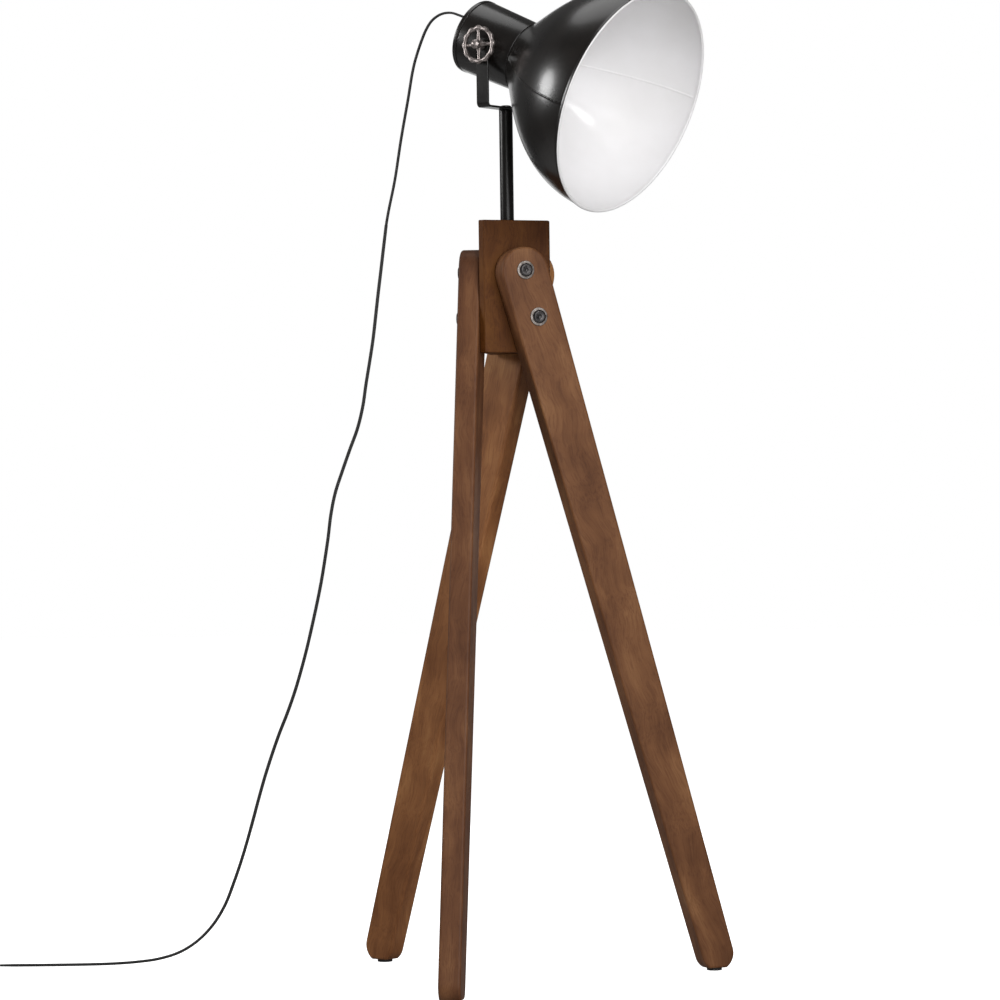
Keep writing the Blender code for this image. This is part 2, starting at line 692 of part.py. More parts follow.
def knob(side, pan, tilt_place, turn, looks):
    base = yoke_half() + YOKE_THICKNESS + 2 * GAP
    axis = empty(f"knob_axis_{side}", pan, tilt_place, (turn, 0, 0))
    middle = base + 0.0075
    low, high = middle - WHEEL_THICKNESS / 2, middle + WHEEL_THICKNESS / 2
    inner = WHEEL_RADIUS - WHEEL_RIM
    ease = 0.0018
    rim = lathe(
        [
            (inner + ease, low), (lobed(WHEEL_RADIUS - ease), low), (lobed(WHEEL_RADIUS), middle),
            (lobed(WHEEL_RADIUS - ease), high), (inner + ease, high), (inner, middle),
        ],
        48,
        closed=True,
    )
    made = add(f"knob_wheel_{side}", rim, looks["pewter"], axis)
    reach = inner + WHEEL_RIM / 2
    half = SPOKE_WIDTH / 2
    bars = []
    for quarter in (0, pi / 2):
        bar = block((-reach, -half, middle - 0.002), (reach, half, middle + 0.002))
        bars.append(add("spoke_bar", bar, looks["pewter"], axis, (0, 0, 0), (0, 0, quarter)))
    boss = lathe(
        [
            (0, base), (WHEEL_BOSS - 0.001, base), (WHEEL_BOSS, base + 0.001),
            (WHEEL_BOSS, base + KNOB_LENGTH - 0.002), (WHEEL_BOSS - 0.002, base + KNOB_LENGTH),
            (0, base + KNOB_LENGTH),
        ],
        24,
    )
    combine(made, bars + [add("boss", boss, looks["pewter"], axis)], "UNION")
    bore = rod(STUD_RADIUS + GAP, base - 0.01, base + KNOB_LENGTH + 0.01)
    combine(made, [add("knob_bore", bore, looks["pewter"], axis)], "DIFFERENCE")
    seat = base + KNOB_LENGTH + GAP
    nut = lathe(
        [
            (STUD_RADIUS + GAP, seat), (hexagon(0.0062), seat), (hexagon(0.0062), seat + 0.0055),
            (0.0056, seat + 0.0065), (0.0035, seat + KNOB_NUT_LENGTH - 0.0008), (0, seat + KNOB_NUT_LENGTH),
            (0, seat + KNOB_NUT_LENGTH * 0.6), (STUD_RADIUS + GAP, seat + KNOB_NUT_LENGTH * 0.6),
        ],
        24,
        closed=True,
    )
    add(f"knob_nut_{side}", nut, looks["bolt"], axis)


# ---- Cord ----


def smooth_route(points, spacing):
    """A Catmull-Rom curve through the points, read at an even spacing."""
    known = [2 * points[0] - points[1], *points, 2 * points[-1] - points[-2]]
    fine = []
    for p0, p1, p2, p3 in zip(known, known[1:], known[2:], known[3:]):
        for i in range(40):
            t = i / 40
            fine.append(
                0.5 * (2 * p1 + (p2 - p0) * t + (2 * p0 - 5 * p1 + 4 * p2 - p3) * t**2
                       + (3 * p1 - p0 - 3 * p2 + p3) * t**3)
            )
    fine = np.array([*fine, points[-1]])
    run = np.concatenate([[0], np.cumsum(np.linalg.norm(np.diff(fine, axis=0), axis=1))])
    count = int(round(run[-1] / spacing)) + 1
    at = np.linspace(0, run[-1], count)
    return [Vector([np.interp(t, run, fine[:, axis]) for axis in range(3)]) for t in at]


def cord(looks, exit_point, exit_way):
    """The free cord as one tube, from just outside the gland to the coil."""
    first = exit_point + exit_way * GAP
    ways = [first, first + exit_way * 0.012]
    route = ways + [Vector(point) for point in CORD_ROUTE]
    line = smooth_route(route, 0.0245)
    curve = bpy.data.curves.new("cord_tube", "CURVE")
    curve.dimensions = "3D"
    curve.bevel_depth = CORD_RADIUS
    curve.bevel_resolution = 2
    curve.use_fill_caps = True
    spline = curve.splines.new("POLY")
    spline.points.add(len(line) - 1)
    for point, place in zip(spline.points, line):
        point.co = (*place, 1)
    curve.materials.append(looks["cord"])
    made = bpy.data.objects.new("cord_tube", curve)
    bpy.context.scene.collection.objects.link(made)
    made.parent = root


def coil(looks):
    half, low, high = COIL_WIDTH / 2, COIL_LIFT, COIL_LIFT + COIL_HEIGHT
    ease = CORD_RADIUS
    ring = lathe(
        [
            (COIL_RADIUS - half + ease, low),
            (COIL_RADIUS + half - ease, low),
            (COIL_RADIUS + half, low + ease),
            (COIL_RADIUS + half, high - ease),
            (COIL_RADIUS + half - ease, high),
            (COIL_RADIUS - half + ease, high),
            (COIL_RADIUS - half, high - ease),
            (COIL_RADIUS - half, low + ease),
        ],
        28,
        closed=True,
    )
    add("cord_coil", ring, looks["cord"], root, COIL_CENTRE)
    band = 0.003
    gap = 2 * GAP
    tie_at = COIL_CENTRE + Vector((cos(TIE_ANGLE), sin(TIE_ANGLE), 0)) * COIL_RADIUS
    side = half + gap + TIE_THICKNESS
    outer = block((-side, -band, low - gap - TIE_UNDER), (side, band, high + gap + TIE_THICKNESS))
    turn = (0, 0, TIE_ANGLE)
    tie = add("cord_tie", outer, looks["rubber"], root, tie_at, turn)
    inner = block((-half - gap, -0.01, low - gap), (half + gap, 0.01, high + gap))
    combine(tie, [add("tie_inside", inner, looks["rubber"], root, tie_at, turn)], "DIFFERENCE")


def plug(looks):
    """A flat two-pin plug that lies beside the coil and points forward (-Y)."""
    start = COIL_CENTRE + Vector((-COIL_RADIUS, -PLUG_BACK, 0))
    middle = PLUG_HEIGHT / 2
    frame = empty("plug_frame", root, start + Vector((0, 0, middle)), (pi / 2, 0, 0))
    wide = PLUG_WIDTH / 2
    sections = [
        (0.0034, 0.0034, 0),
        (0.0045, 0.0045, 0.011),
        (0.010, 0.0055, 0.015),
        (wide, middle, 0.024),
        (wide, middle, PLUG_LENGTH - 0.002),
        (wide - 0.002, middle - 0.002, PLUG_LENGTH),
    ]
    bm = bmesh.new()
    rows = []
    for across, high, along in sections:
        row = []
        for step in range(20):
            angle = 2 * pi * (step + 0.5) / 20
            x = across * cos(angle) / max(abs(cos(angle)), abs(sin(angle))) ** 0.55
            z = high * sin(angle) / max(abs(sin(angle)), 0.55)
            row.append(bm.verts.new((x, z, along)))
        rows.append(row)
    for low_row, high_row in zip(rows, rows[1:]):
        for step in range(20):
            after = (step + 1) % 20
            bm.faces.new((low_row[step], low_row[after], high_row[after], high_row[step]))
    bm.faces.new(rows[0])
    bm.faces.new(rows[-1])
    add("plug_body", bm, looks["cord"], frame)
    for name, side in (("left", -1), ("right", 1)):
        pin = lathe(
            [
                (0, PLUG_LENGTH + GAP), (PIN_RADIUS, PLUG_LENGTH + GAP),
                (PIN_RADIUS, PLUG_LENGTH + PIN_LENGTH - 0.001),
                (PIN_RADIUS * 0.5, PLUG_LENGTH + PIN_LENGTH),
                (0, PLUG_LENGTH + PIN_LENGTH),
            ],
            16,
        )
        add(f"plug_pin_{name}", pin, looks["steel"], frame, (side * PIN_SPACING / 2, 0, 0))


def centre_on_floor():
    """Moves the root so that the box of the lamp without its cord stands centred on the origin."""
    bpy.context.view_layer.update()
    skipped = ("cord_tube", "cord_coil", "cord_tie", "plug_")
    corners = np.array([
        item.matrix_world @ vertex.co
        for item in bpy.data.objects
        if item.type == "MESH" and not item.name.startswith(skipped)
        for vertex in item.data.vertices
    ])
    low, high = corners.min(axis=0), corners.max(axis=0)
    root.location = (-(low[0] + high[0]) / 2, -(low[1] + high[1]) / 2, 0)
    bpy.context.view_layer.update()


def build():
    global root
    clear_scene()
    looks = {
        "wood": material("stained_wood", (0.13, 0.055, 0.026), 0.5),
        "black": material("black_paint", (0.012, 0.011, 0.011), 0.3, 0.2),
        "steel": material("zinc_steel", (0.45, 0.45, 0.46), 0.4, 1.0),
        "bolt": material("dark_steel", (0.06, 0.06, 0.065), 0.4, 0.9),
        "washer": material("worn_steel", (0.22, 0.21, 0.21), 0.45, 0.9),
        "brass": material("brass", (0.6, 0.42, 0.16), 0.35, 1.0),
        "pewter": material("pewter", (0.30, 0.27, 0.26), 0.42, 0.9),
        "rubber": material("black_rubber", (0.015, 0.015, 0.015), 0.8),
        "phenolic": material("black_phenolic", (0.02, 0.02, 0.02), 0.45),
        "cord": material("black_lead", (0.012, 0.012, 0.012), 0.55),
    }
    root = empty("lamp_root")
    tripod(looks)
    column(looks)
    pan = empty("pan_axis", root, (0, 0, ROD_TOP), (0, 0, HEAD_TURN))
    tilt_place = (0, 0, PIVOT_HEIGHT - ROD_TOP)
    tilt = empty("tilt_axis", pan, tilt_place, (0, HEAD_TILT, 0))
    yoke(pan, tilt_place, looks)
    head(tilt, looks)
    knob("near", pan, tilt_place, pi / 2, looks)
    knob("far", pan, tilt_place, -pi / 2, looks)
    bpy.context.view_layer.update()
    exit_point = tilt.matrix_world @ Vector((HOUSING_REAR - GLAND_LENGTH, 0, GLAND_RISE))
    exit_way = (tilt.matrix_world.to_3x3() @ Vector((-1, 0, 0))).normalized()
    cord(looks, exit_point, exit_way)
    coil(looks)
    plug(looks)
    centre_on_floor()


build()
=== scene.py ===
import json
from math import radians

import bmesh
import bpy
import numpy as np
from mathutils import Matrix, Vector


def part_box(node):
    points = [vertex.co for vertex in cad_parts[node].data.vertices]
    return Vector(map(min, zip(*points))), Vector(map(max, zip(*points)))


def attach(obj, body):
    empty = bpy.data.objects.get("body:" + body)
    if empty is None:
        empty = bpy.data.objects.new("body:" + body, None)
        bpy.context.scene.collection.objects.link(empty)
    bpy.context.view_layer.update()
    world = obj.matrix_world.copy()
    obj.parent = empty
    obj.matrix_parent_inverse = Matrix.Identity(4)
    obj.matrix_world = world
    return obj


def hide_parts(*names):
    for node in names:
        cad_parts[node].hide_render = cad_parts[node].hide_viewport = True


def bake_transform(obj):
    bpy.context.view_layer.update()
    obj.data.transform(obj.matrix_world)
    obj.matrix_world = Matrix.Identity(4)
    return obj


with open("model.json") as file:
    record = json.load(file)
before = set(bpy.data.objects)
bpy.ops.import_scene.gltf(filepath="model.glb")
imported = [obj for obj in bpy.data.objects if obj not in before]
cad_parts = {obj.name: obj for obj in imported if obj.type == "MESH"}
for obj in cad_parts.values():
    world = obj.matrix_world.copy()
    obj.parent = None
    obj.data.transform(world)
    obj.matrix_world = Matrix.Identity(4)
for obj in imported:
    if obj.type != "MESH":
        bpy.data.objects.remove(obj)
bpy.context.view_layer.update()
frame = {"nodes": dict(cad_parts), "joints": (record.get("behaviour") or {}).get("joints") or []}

joints = {joint["name"]: joint for joint in frame["joints"]}
tau = 2 * np.pi
clearance = 0.0003  # between pieces that touch


def unit(vector):
    # a vector divided by its length
    vector = np.asarray(vector, float)
    return vector / np.linalg.norm(vector, axis=-1, keepdims=True)


def middle(node):
    # the centre of a node's box
    low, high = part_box(node)
    return (np.array(low) + np.array(high)) / 2


lampAxis = middle("rod_tube") * [1, 1, 0]
pivot = np.array(joints["head_tilt"]["pos_m"])
farSide = unit(joints["head_tilt"]["axis"])
headWay = unit(pivot - middle("centre_contact"))
headUp = np.cross(headWay, farSide)
panWay = unit(np.cross(farSide, [0, 0, 1]))
print("frame read, tilt axis at", pivot.round(3))

# ---------- camera ----------

camera = {
    "away": 6.150,  # in front of the lamp's upright axis
    "left": 0.0168,
    "height": 0.765,
    "pitch": radians(0.26),  # downwards
    "roll": radians(-0.76),
    "lens": 143.6,
}


def placeCamera(settings):
    data = bpy.data.cameras.new("viewCamera")
    data.lens = settings["lens"]
    data.sensor_width = 36
    data.clip_end = 60
    made = bpy.data.objects.new("viewCamera", data)
    bpy.context.scene.collection.objects.link(made)
    place = lampAxis + [-settings["left"], -settings["away"], settings["height"]]
    pitch = Matrix.Rotation(radians(90) - settings["pitch"], 4, "X")
    roll = Matrix.Rotation(settings["roll"], 4, "Z")
    made.matrix_world = Matrix.Translation(place) @ pitch @ roll
    bpy.context.scene.camera = made


placeCamera(camera)
print("camera placed")

# ---------- materials ----------


def newMaterial(name):
    # an empty Principled material with its node tree and shader
    made = bpy.data.materials.new(name)
    made.use_nodes = True
    tree = made.node_tree
    return made, tree, tree.nodes["Principled BSDF"]


def addNode(tree, kind, inputs=None, **settings):
    made = tree.nodes.new(kind)
    for key, value in settings.items():
        setattr(made, key, value)
    for key, value in (inputs or {}).items():
        if isinstance(value, bpy.types.NodeSocket):
            tree.links.new(value, made.inputs[key])
        else:
            made.inputs[key].default_value = value
    return made


def ramp(tree, factor, stops):
    # a colour ramp through (position, colour) stops
    made = addNode(tree, "ShaderNodeValToRGB", {"Fac": factor})
    scale = made.color_ramp
    for extra in stops[2:]:
        scale.elements.new(extra[0])
    for element, (position, colour) in zip(scale.elements, sorted(stops)):
        element.position = position
        element.color = (*colour, 1)
    return made.outputs["Color"]


def spread(tree, factor, low, high):
    # a factor from 0 to 1 carried to the range low to high
    made = addNode(tree, "ShaderNodeMapRange", {"Value": factor, "To Min": low, "To Max": high})
    return made.outputs["Result"]


def noise(tree, vector, scale, detail, **inputs):
    sockets = {"Vector": vector, "Scale": scale, "Detail": detail, **inputs}
    return addNode(tree, "ShaderNodeTexNoise", sockets)


def finish(name, look):
    # noise at one scale moves the colour and roughness, and noise at a finer scale gives the bump
    made, tree, shader = newMaterial(name)
    spot = addNode(tree, "ShaderNodeTexCoord").outputs["Object"]
    broad = noise(tree, spot, look["scale"], 5.0).outputs["Fac"]
    fine = noise(tree, spot, look["grain"], 3.0).outputs["Fac"]
    colours = ramp(tree, broad, [(0.32, look["dark"]), (0.68, look["light"])])
    tree.links.new(colours, shader.inputs["Base Color"])
    rough = spread(tree, broad, look["smooth"], look["rough"])
    tree.links.new(rough, shader.inputs["Roughness"])
    relief = {"Height": fine, "Strength": look["bump"], "Distance": look["depth"]}
    bump = addNode(tree, "ShaderNodeBump", relief)
    tree.links.new(bump.outputs["Normal"], shader.inputs["Normal"])
    shader.inputs["Metallic"].default_value = look.get("metallic", 0)
    shader.inputs["Coat Weight"].default_value = look.get("coat", 0)
    shader.inputs["Coat Roughness"].default_value = look.get("coatRough", 0.08)
    shader.inputs["Specular IOR Level"].default_value = look.get("specular", 0.5)
    return made


finishes = {
    "glossPaint": {
        "dark": (0.0052, 0.0040, 0.0034), "light": (0.0100, 0.0078, 0.0066),
        "scale": 22, "grain": 260, "smooth": 0.24, "rough": 0.34,
        "bump": 0.10, "depth": 0.0006, "coat": 0.30, "coatRough": 0.16,
    },
    "yokePaint": {
        "dark": (0.009, 0.0085, 0.008), "light": (0.015, 0.014, 0.013),
        "scale": 40, "grain": 500, "smooth": 0.26, "rough": 0.36,
        "bump": 0.10, "depth": 0.0004, "specular": 0.3,
    },
    "enamel": {
        "dark": (0.80, 0.79, 0.79), "light": (0.86, 0.85, 0.86),
        "scale": 9, "grain": 170, "smooth": 0.40, "rough": 0.50,
        "bump": 0.05, "depth": 0.0008, "coat": 0.3, "coatRough": 0.13, "specular": 0.25,
    },
    "pewter": {
        "dark": (0.17, 0.145, 0.135), "light": (0.46, 0.41, 0.395),
        "scale": 190, "grain": 700, "smooth": 0.30, "rough": 0.52,
        "bump": 0.35, "depth": 0.0005, "metallic": 0.9,
    },
    "darkSteel": {
        "dark": (0.030, 0.028, 0.028), "light": (0.085, 0.080, 0.080),
        "scale": 160, "grain": 900, "smooth": 0.28, "rough": 0.45,
        "bump": 0.15, "depth": 0.0003, "metallic": 0.85,
    },
    "wornSteel": {
        "dark": (0.12, 0.105, 0.095), "light": (0.30, 0.27, 0.25),
        "scale": 210, "grain": 800, "smooth": 0.30, "rough": 0.50,
        "bump": 0.18, "depth": 0.0003, "metallic": 0.85,
    },
    "zincSteel": {
        "dark": (0.42, 0.42, 0.43), "light": (0.60, 0.60, 0.61),
        "scale": 120, "grain": 900, "smooth": 0.28, "rough": 0.42,
        "bump": 0.10, "depth": 0.0002, "metallic": 1.0,
    },
    "brass": {
        "dark": (0.50, 0.34, 0.12), "light": (0.72, 0.53, 0.22),
        "scale": 120, "grain": 900, "smooth": 0.24, "rough": 0.38,
        "bump": 0.10, "depth": 0.0002, "metallic": 1.0,
    },
    "rubber": {
        "dark": (0.010, 0.010, 0.010), "light": (0.022, 0.021, 0.021),
        "scale": 70, "grain": 900, "smooth": 0.62, "rough": 0.80,
        "bump": 0.25, "depth": 0.0003,
    },
    "phenolic": {
        "dark": (0.012, 0.011, 0.011), "light": (0.020, 0.019, 0.019),
        "scale": 60, "grain": 600, "smooth": 0.34, "rough": 0.46,
        "bump": 0.10, "depth": 0.0002,
    },
    "leadSheath": {
        "dark": (0.012, 0.012, 0.012), "light": (0.018, 0.018, 0.018),
        "scale": 30, "grain": 160, "smooth": 0.48, "rough": 0.58,
        "bump": 0.04, "depth": 0.0002,
    },
}
looks = {name: finish(name, look) for name, look in finishes.items()}

woodLook = {
    "shades": [
        (0.30, (0.060, 0.020, 0.0070)),
        (0.45, (0.115, 0.044, 0.0165)),
        (0.57, (0.165, 0.070, 0.030)),
        (0.72, (0.250, 0.122, 0.058)),
    ],
    "pores": [(0.36, (0.62, 0.54, 0.48)), (0.52, (1.0, 1.0, 1.0))],
    "poreShare": 0.5,
    "warpScale": 5.5,
    "warp": 0.075,
    "bandScale": (30, 30, 4.5),
    "poreScale": (480, 480, 16),
    "cloudScale": 9.0,
    "bandShare": 0.55,
    "cloudShare": 0.55,
    "smooth": 0.50,
    "rough": 0.66,
    "bump": 0.22,
    "depth": 0.0008,
}


def wood(name, place, turn, paintedLightScale=1.0, shift=0.0, sheen=0.3):
    # bands run along the board's Z, warped by broad noise, with clouds and fine dark pores;
    # place and turn are the board's own axes
    made, tree, shader = newMaterial(name)
    spot = addNode(tree, "ShaderNodeTexCoord").outputs["Object"]
    axes = {"Vector": spot, "Location": tuple(place), "Rotation": tuple(turn)}
    board = addNode(tree, "ShaderNodeMapping", axes, vector_type="TEXTURE").outputs["Vector"]
    offset = {"Vector": board, "Location": (shift, shift, shift)}
    moved = addNode(tree, "ShaderNodeMapping", offset).outputs["Vector"]
    bend = noise(tree, moved, woodLook["warpScale"], 3.0)
    warp = addNode(tree, "ShaderNodeVectorMath", {0: bend.outputs["Color"]}, operation="SCALE")
    warp.inputs["Scale"].default_value = woodLook["warp"]
    warped = {0: moved, 1: warp.outputs["Vector"]}
    bent = addNode(tree, "ShaderNodeVectorMath", warped).outputs["Vector"]
    long = addNode(tree, "ShaderNodeMapping", {"Vector": bent, "Scale": woodLook["bandScale"]})
    bands = noise(tree, long.outputs["Vector"], 1.0, 6.0, Roughness=0.58).outputs["Fac"]
    cloud = noise(tree, bent, woodLook["cloudScale"], 4.0).outputs["Fac"]
    share = {0: cloud, 1: woodLook["cloudShare"]}
    clouds = addNode(tree, "ShaderNodeMath", share, operation="MULTIPLY")
    sums = {0: bands, 1: woodLook["bandShare"], 2: clouds.outputs["Value"]}
    figure = addNode(tree, "ShaderNodeMath", sums, operation="MULTIPLY_ADD")
    # the shades are scaled by the board's painted light or painted shade
    shades = [(at, tuple(np.multiply(paintedLightScale, colour))) for at, colour in woodLook["shades"]]
    base = ramp(tree, figure.outputs["Value"], shades)
    thin = addNode(tree, "ShaderNodeMapping", {"Vector": bent, "Scale": woodLook["poreScale"]})
    pores = noise(tree, thin.outputs["Vector"], 1.0, 2.0).outputs["Fac"]
    tint = ramp(tree, pores, woodLook["pores"])
    mix = {0: woodLook["poreShare"], 6: base, 7: tint}
    mixed = addNode(tree, "ShaderNodeMix", mix, data_type="RGBA", blend_type="MULTIPLY")
    tree.links.new(mixed.outputs[2], shader.inputs["Base Color"])
    rough = spread(tree, bands, woodLook["rough"], woodLook["smooth"])
    tree.links.new(rough, shader.inputs["Roughness"])
    height = addNode(tree, "ShaderNodeMath", {0: pores, 1: bands}, operation="ADD").outputs["Value"]
    relief = {"Height": height, "Strength": woodLook["bump"], "Distance": woodLook["depth"]}
    bump = addNode(tree, "ShaderNodeBump", relief)
    tree.links.new(bump.outputs["Normal"], shader.inputs["Normal"])
    shader.inputs["Specular IOR Level"].default_value = sheen
    return made


print("finishes made")

# ---------- surfaces ----------


def shell(grid, closeRows=False, closeAround=True, caps=True):
    # a grid of points becomes quads; its first and last rows become end faces
    rows, columns = grid.shape[:2]
    index = np.arange(rows * columns).reshape(rows, columns)
    low = index if closeRows else index[:-1]
    high = np.roll(index, -1, axis=0) if closeRows else index[1:]
    if closeAround:
        quads = np.stack([low, np.roll(low, -1, 1), np.roll(high, -1, 1), high], -1)
    else:
        quads = np.stack([low[:, :-1], low[:, 1:], high[:, 1:], high[:, :-1]], -1)
    faces = quads.reshape(-1, 4).tolist()
    if caps and not closeRows:
        faces += [index[0][::-1].tolist(), index[-1].tolist()]
    return grid.reshape(-1, 3), faces


def piece(name, shells, look, body, replaced=(), sharp=38):
    # joins closed shells into one object that rides on a body
    points, faces, count = [], [], 0
    for corners, polygons in shells:
        points.append(corners)
        faces += [[count + corner for corner in polygon] for polygon in polygons]
        count += len(corners)
    mesh = bpy.data.meshes.new(name)
    mesh.from_pydata(np.concatenate(points).tolist(), [], faces)
    mesh.materials.append(look)
    work = bmesh.new()
    work.from_mesh(mesh)
    bmesh.ops.recalc_face_normals(work, faces=work.faces)
    work.to_mesh(mesh)
    work.free()
    mesh.shade_smooth()
    mesh.set_sharp_from_angle(angle=radians(sharp))
    made = bpy.data.objects.new(name, mesh)
    bpy.context.scene.collection.objects.link(made)
    if body:
        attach(made, body)
    if replaced:
        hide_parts(*replaced)
    return made


def turned(origin, axis, across, radii, heights, angles):
    # a turned surface: radius times the unit circle about the axis, plus height along the axis
    axis, across = unit(axis), unit(across)
    other = np.cross(axis, across)
    radii = np.asarray(radii, float)
    radii = radii[:, None] if radii.ndim == 1 else radii
    circle = np.cos(angles)[:, None] * across + np.sin(angles)[:, None] * other
    return origin + np.asarray(heights, float)[:, None, None] * axis + radii[..., None] * circle


def around(count):
    return np.arange(count) * tau / count


def softened(points, radius, steps=4):
    # each inner corner of a line is replaced by a short curve that leaves it at most radius away
    points = np.asarray(points, float)
    out = [points[0]]
    for before, corner, after in zip(points, points[1:], points[2:]):
        reachIn = min(radius, 0.45 * np.linalg.norm(before - corner))
        reachOut = min(radius, 0.45 * np.linalg.norm(after - corner))
        start = corner + unit(before - corner) * reachIn
        end = corner + unit(after - corner) * reachOut
        t = np.linspace(0, 1, steps + 1)[:, None]
        out += list((1 - t) ** 2 * start + 2 * t * (1 - t) * corner + t**2 * end)
    return np.array([*out, points[-1]])


def lathePiece(origin, axis, across, outline, radius=0.0005, count=64, closed=False):
    # one closed turned shell from a softened outline of (radius, height) pairs
    outline = list(outline)
    line = softened(outline + outline[:2], radius)[1:-1] if closed else softened(outline, radius)
    grid = turned(origin, axis, across, line[:, 0], line[:, 1], around(count))
    return shell(grid, closeRows=closed)


def sixSided(apothem, angles):
    # the radius of a hexagon at each angle
    return apothem / np.cos((angles + np.pi / 6) % (np.pi / 3) - np.pi / 6)


# ---------- cord ----------

lead = {
    "width": 0.0054,
    "thickness": 0.0036,
    "splitAt": 0.40,  # along the lead, where the upper stretch hands over to the lower one
    "coilRadius": 0.0285,
    "coilStep": 0.0056,
    "turns": 4,
    "exitLength": 0.012,  # straight out of the strain relief
    "upperTwist": 80,  # degrees that the lead turns about its own line on the way down
    "floorTwist": 38,  # degrees that it turns back as it comes to the floor
    "coilTwist": 42,  # and as it comes to the coil
    "route": [
        (-0.0760, 0.0520, 1.4925), (-0.0910, 0.0610, 1.4965), (-0.1100, 0.0700, 1.4880),
        (-0.1225, 0.0760, 1.4715), (-0.1350, 0.0830, 1.4410), (-0.1440, 0.0880, 1.4105),
        (-0.1525, 0.0930, 1.3645), (-0.1645, 0.1010, 1.3025), (-0.1750, 0.1070, 1.2405),
        (-0.1885, 0.1140, 1.1780), (-0.1970, 0.1200, 1.1160), (-0.2055, 0.1260, 1.0535),
        (-0.2135, 0.1310, 0.9910), (-0.2245, 0.1370, 0.9280), (-0.2360, 0.1420, 0.8655),
        (-0.2590, 0.1480, 0.8025), (-0.2800, 0.1540, 0.7400), (-0.2900, 0.1590, 0.6770),
        (-0.3010, 0.1640, 0.6130), (-0.3150, 0.1690, 0.5500), (-0.3310, 0.1740, 0.4870),
        (-0.3510, 0.1790, 0.4230), (-0.3760, 0.1840, 0.3600), (-0.3980, 0.1890, 0.2960),
        (-0.4165, 0.1940, 0.2320), (-0.4360, 0.1980, 0.1680), (-0.4600, 0.2030, 0.1045),
        (-0.4775, 0.2060, 0.0725), (-0.5095, 0.2090, 0.0385), (-0.5400, 0.2115, 0.0205),
        (-0.5805, 0.2140, 0.0095), (-0.6415, 0.2180, 0.0040), (-0.7100, 0.2200, 0.0028),
        (-0.7700, 0.2205, 0.0028), (-0.8200, 0.2204, 0.0031), (-0.8575, 0.2212, 0.0037),
    ],
}


def runAlong(path):
    # the distance along the path to each of its points
    return np.concatenate([[0], np.cumsum(np.linalg.norm(np.diff(path, axis=0), axis=1))])


def smoothPath(points, spacing):
    # a Catmull-Rom curve through the points, read at an even spacing
    points = np.asarray(points, float)
    known = np.vstack([2 * points[0] - points[1], points, 2 * points[-1] - points[-2]])
    p0, p1, p2, p3 = (known[i:len(known) - 3 + i, None] for i in range(4))
    t = np.linspace(0, 1, 30, endpoint=False)[None, :, None]
    curve = 0.5 * (2 * p1 + (p2 - p0) * t + (2 * p0 - 5 * p1 + 4 * p2 - p3) * t**2
                   + (3 * p1 - p0 - 3 * p2 + p3) * t**3)
    curve = np.vstack([curve.reshape(-1, 3), points[-1]])
    run = runAlong(curve)
    at = np.linspace(0, run[-1], int(round(run[-1] / spacing)) + 1)
    return np.stack([np.interp(at, run, curve[:, axis]) for axis in range(3)], -1)


def pathLength(path):
    return float(np.linalg.norm(np.diff(path, axis=0), axis=1).sum())


def twinLead(path, twist, settings):
    # two round lobes side by side carried along the path, with their width level and then
    # turned by twist
    lobe = settings["thickness"] / 2
    apart = settings["width"] / 2 - lobe
    angles = around(24)
    reach = apart * np.abs(np.cos(angles)) + np.sqrt(lobe**2 - (apart * np.sin(angles)) ** 2)
    way = unit(np.gradient(path, axis=0))
    level = unit(np.cross([0, 0, 1], way))
    over = np.cross(way, level)
    wide = np.cos(twist)[:, None] * level + np.sin(twist)[:, None] * over
    thick = np.cross(way, wide)
    grid = (path[:, None] + (reach * np.cos(angles))[None, :, None] * wide[:, None]
            + (reach * np.sin(angles))[None, :, None] * thick[:, None])
    return shell(grid)


def coilTurns(settings, centre, low):
    # a circle whose radius and height step by one lead width between turns: out, in, in and up, out
    step = settings["coilStep"]
    last = settings["turns"] + 0.25
    turn = np.linspace(0, last, int(settings["turns"] * 40 + 11))
    stops = np.array([0, 0.86, 1.14, 1.86, 2.14, 2.86, 3.14, last])
    out = np.interp(turn, stops, np.array([1, 1, -1, -1, -1, -1, 1, 1]) * step / 2)
    rise = np.interp(turn, stops, np.array([0, 0, 0, 0, 1, 1, 1, 1]) * step)
    angle = np.pi / 2 + tau * turn
    radius = settings["coilRadius"] + out
    x, y = centre[0] + radius * np.cos(angle), centre[1] + radius * np.sin(angle)
    return np.stack([x, y, low + rise], -1)


def fade(values, start, distance):
    # 0 up to the start, then rising evenly to 1 over the distance
    return np.clip((values - start) / distance, 0, 1)


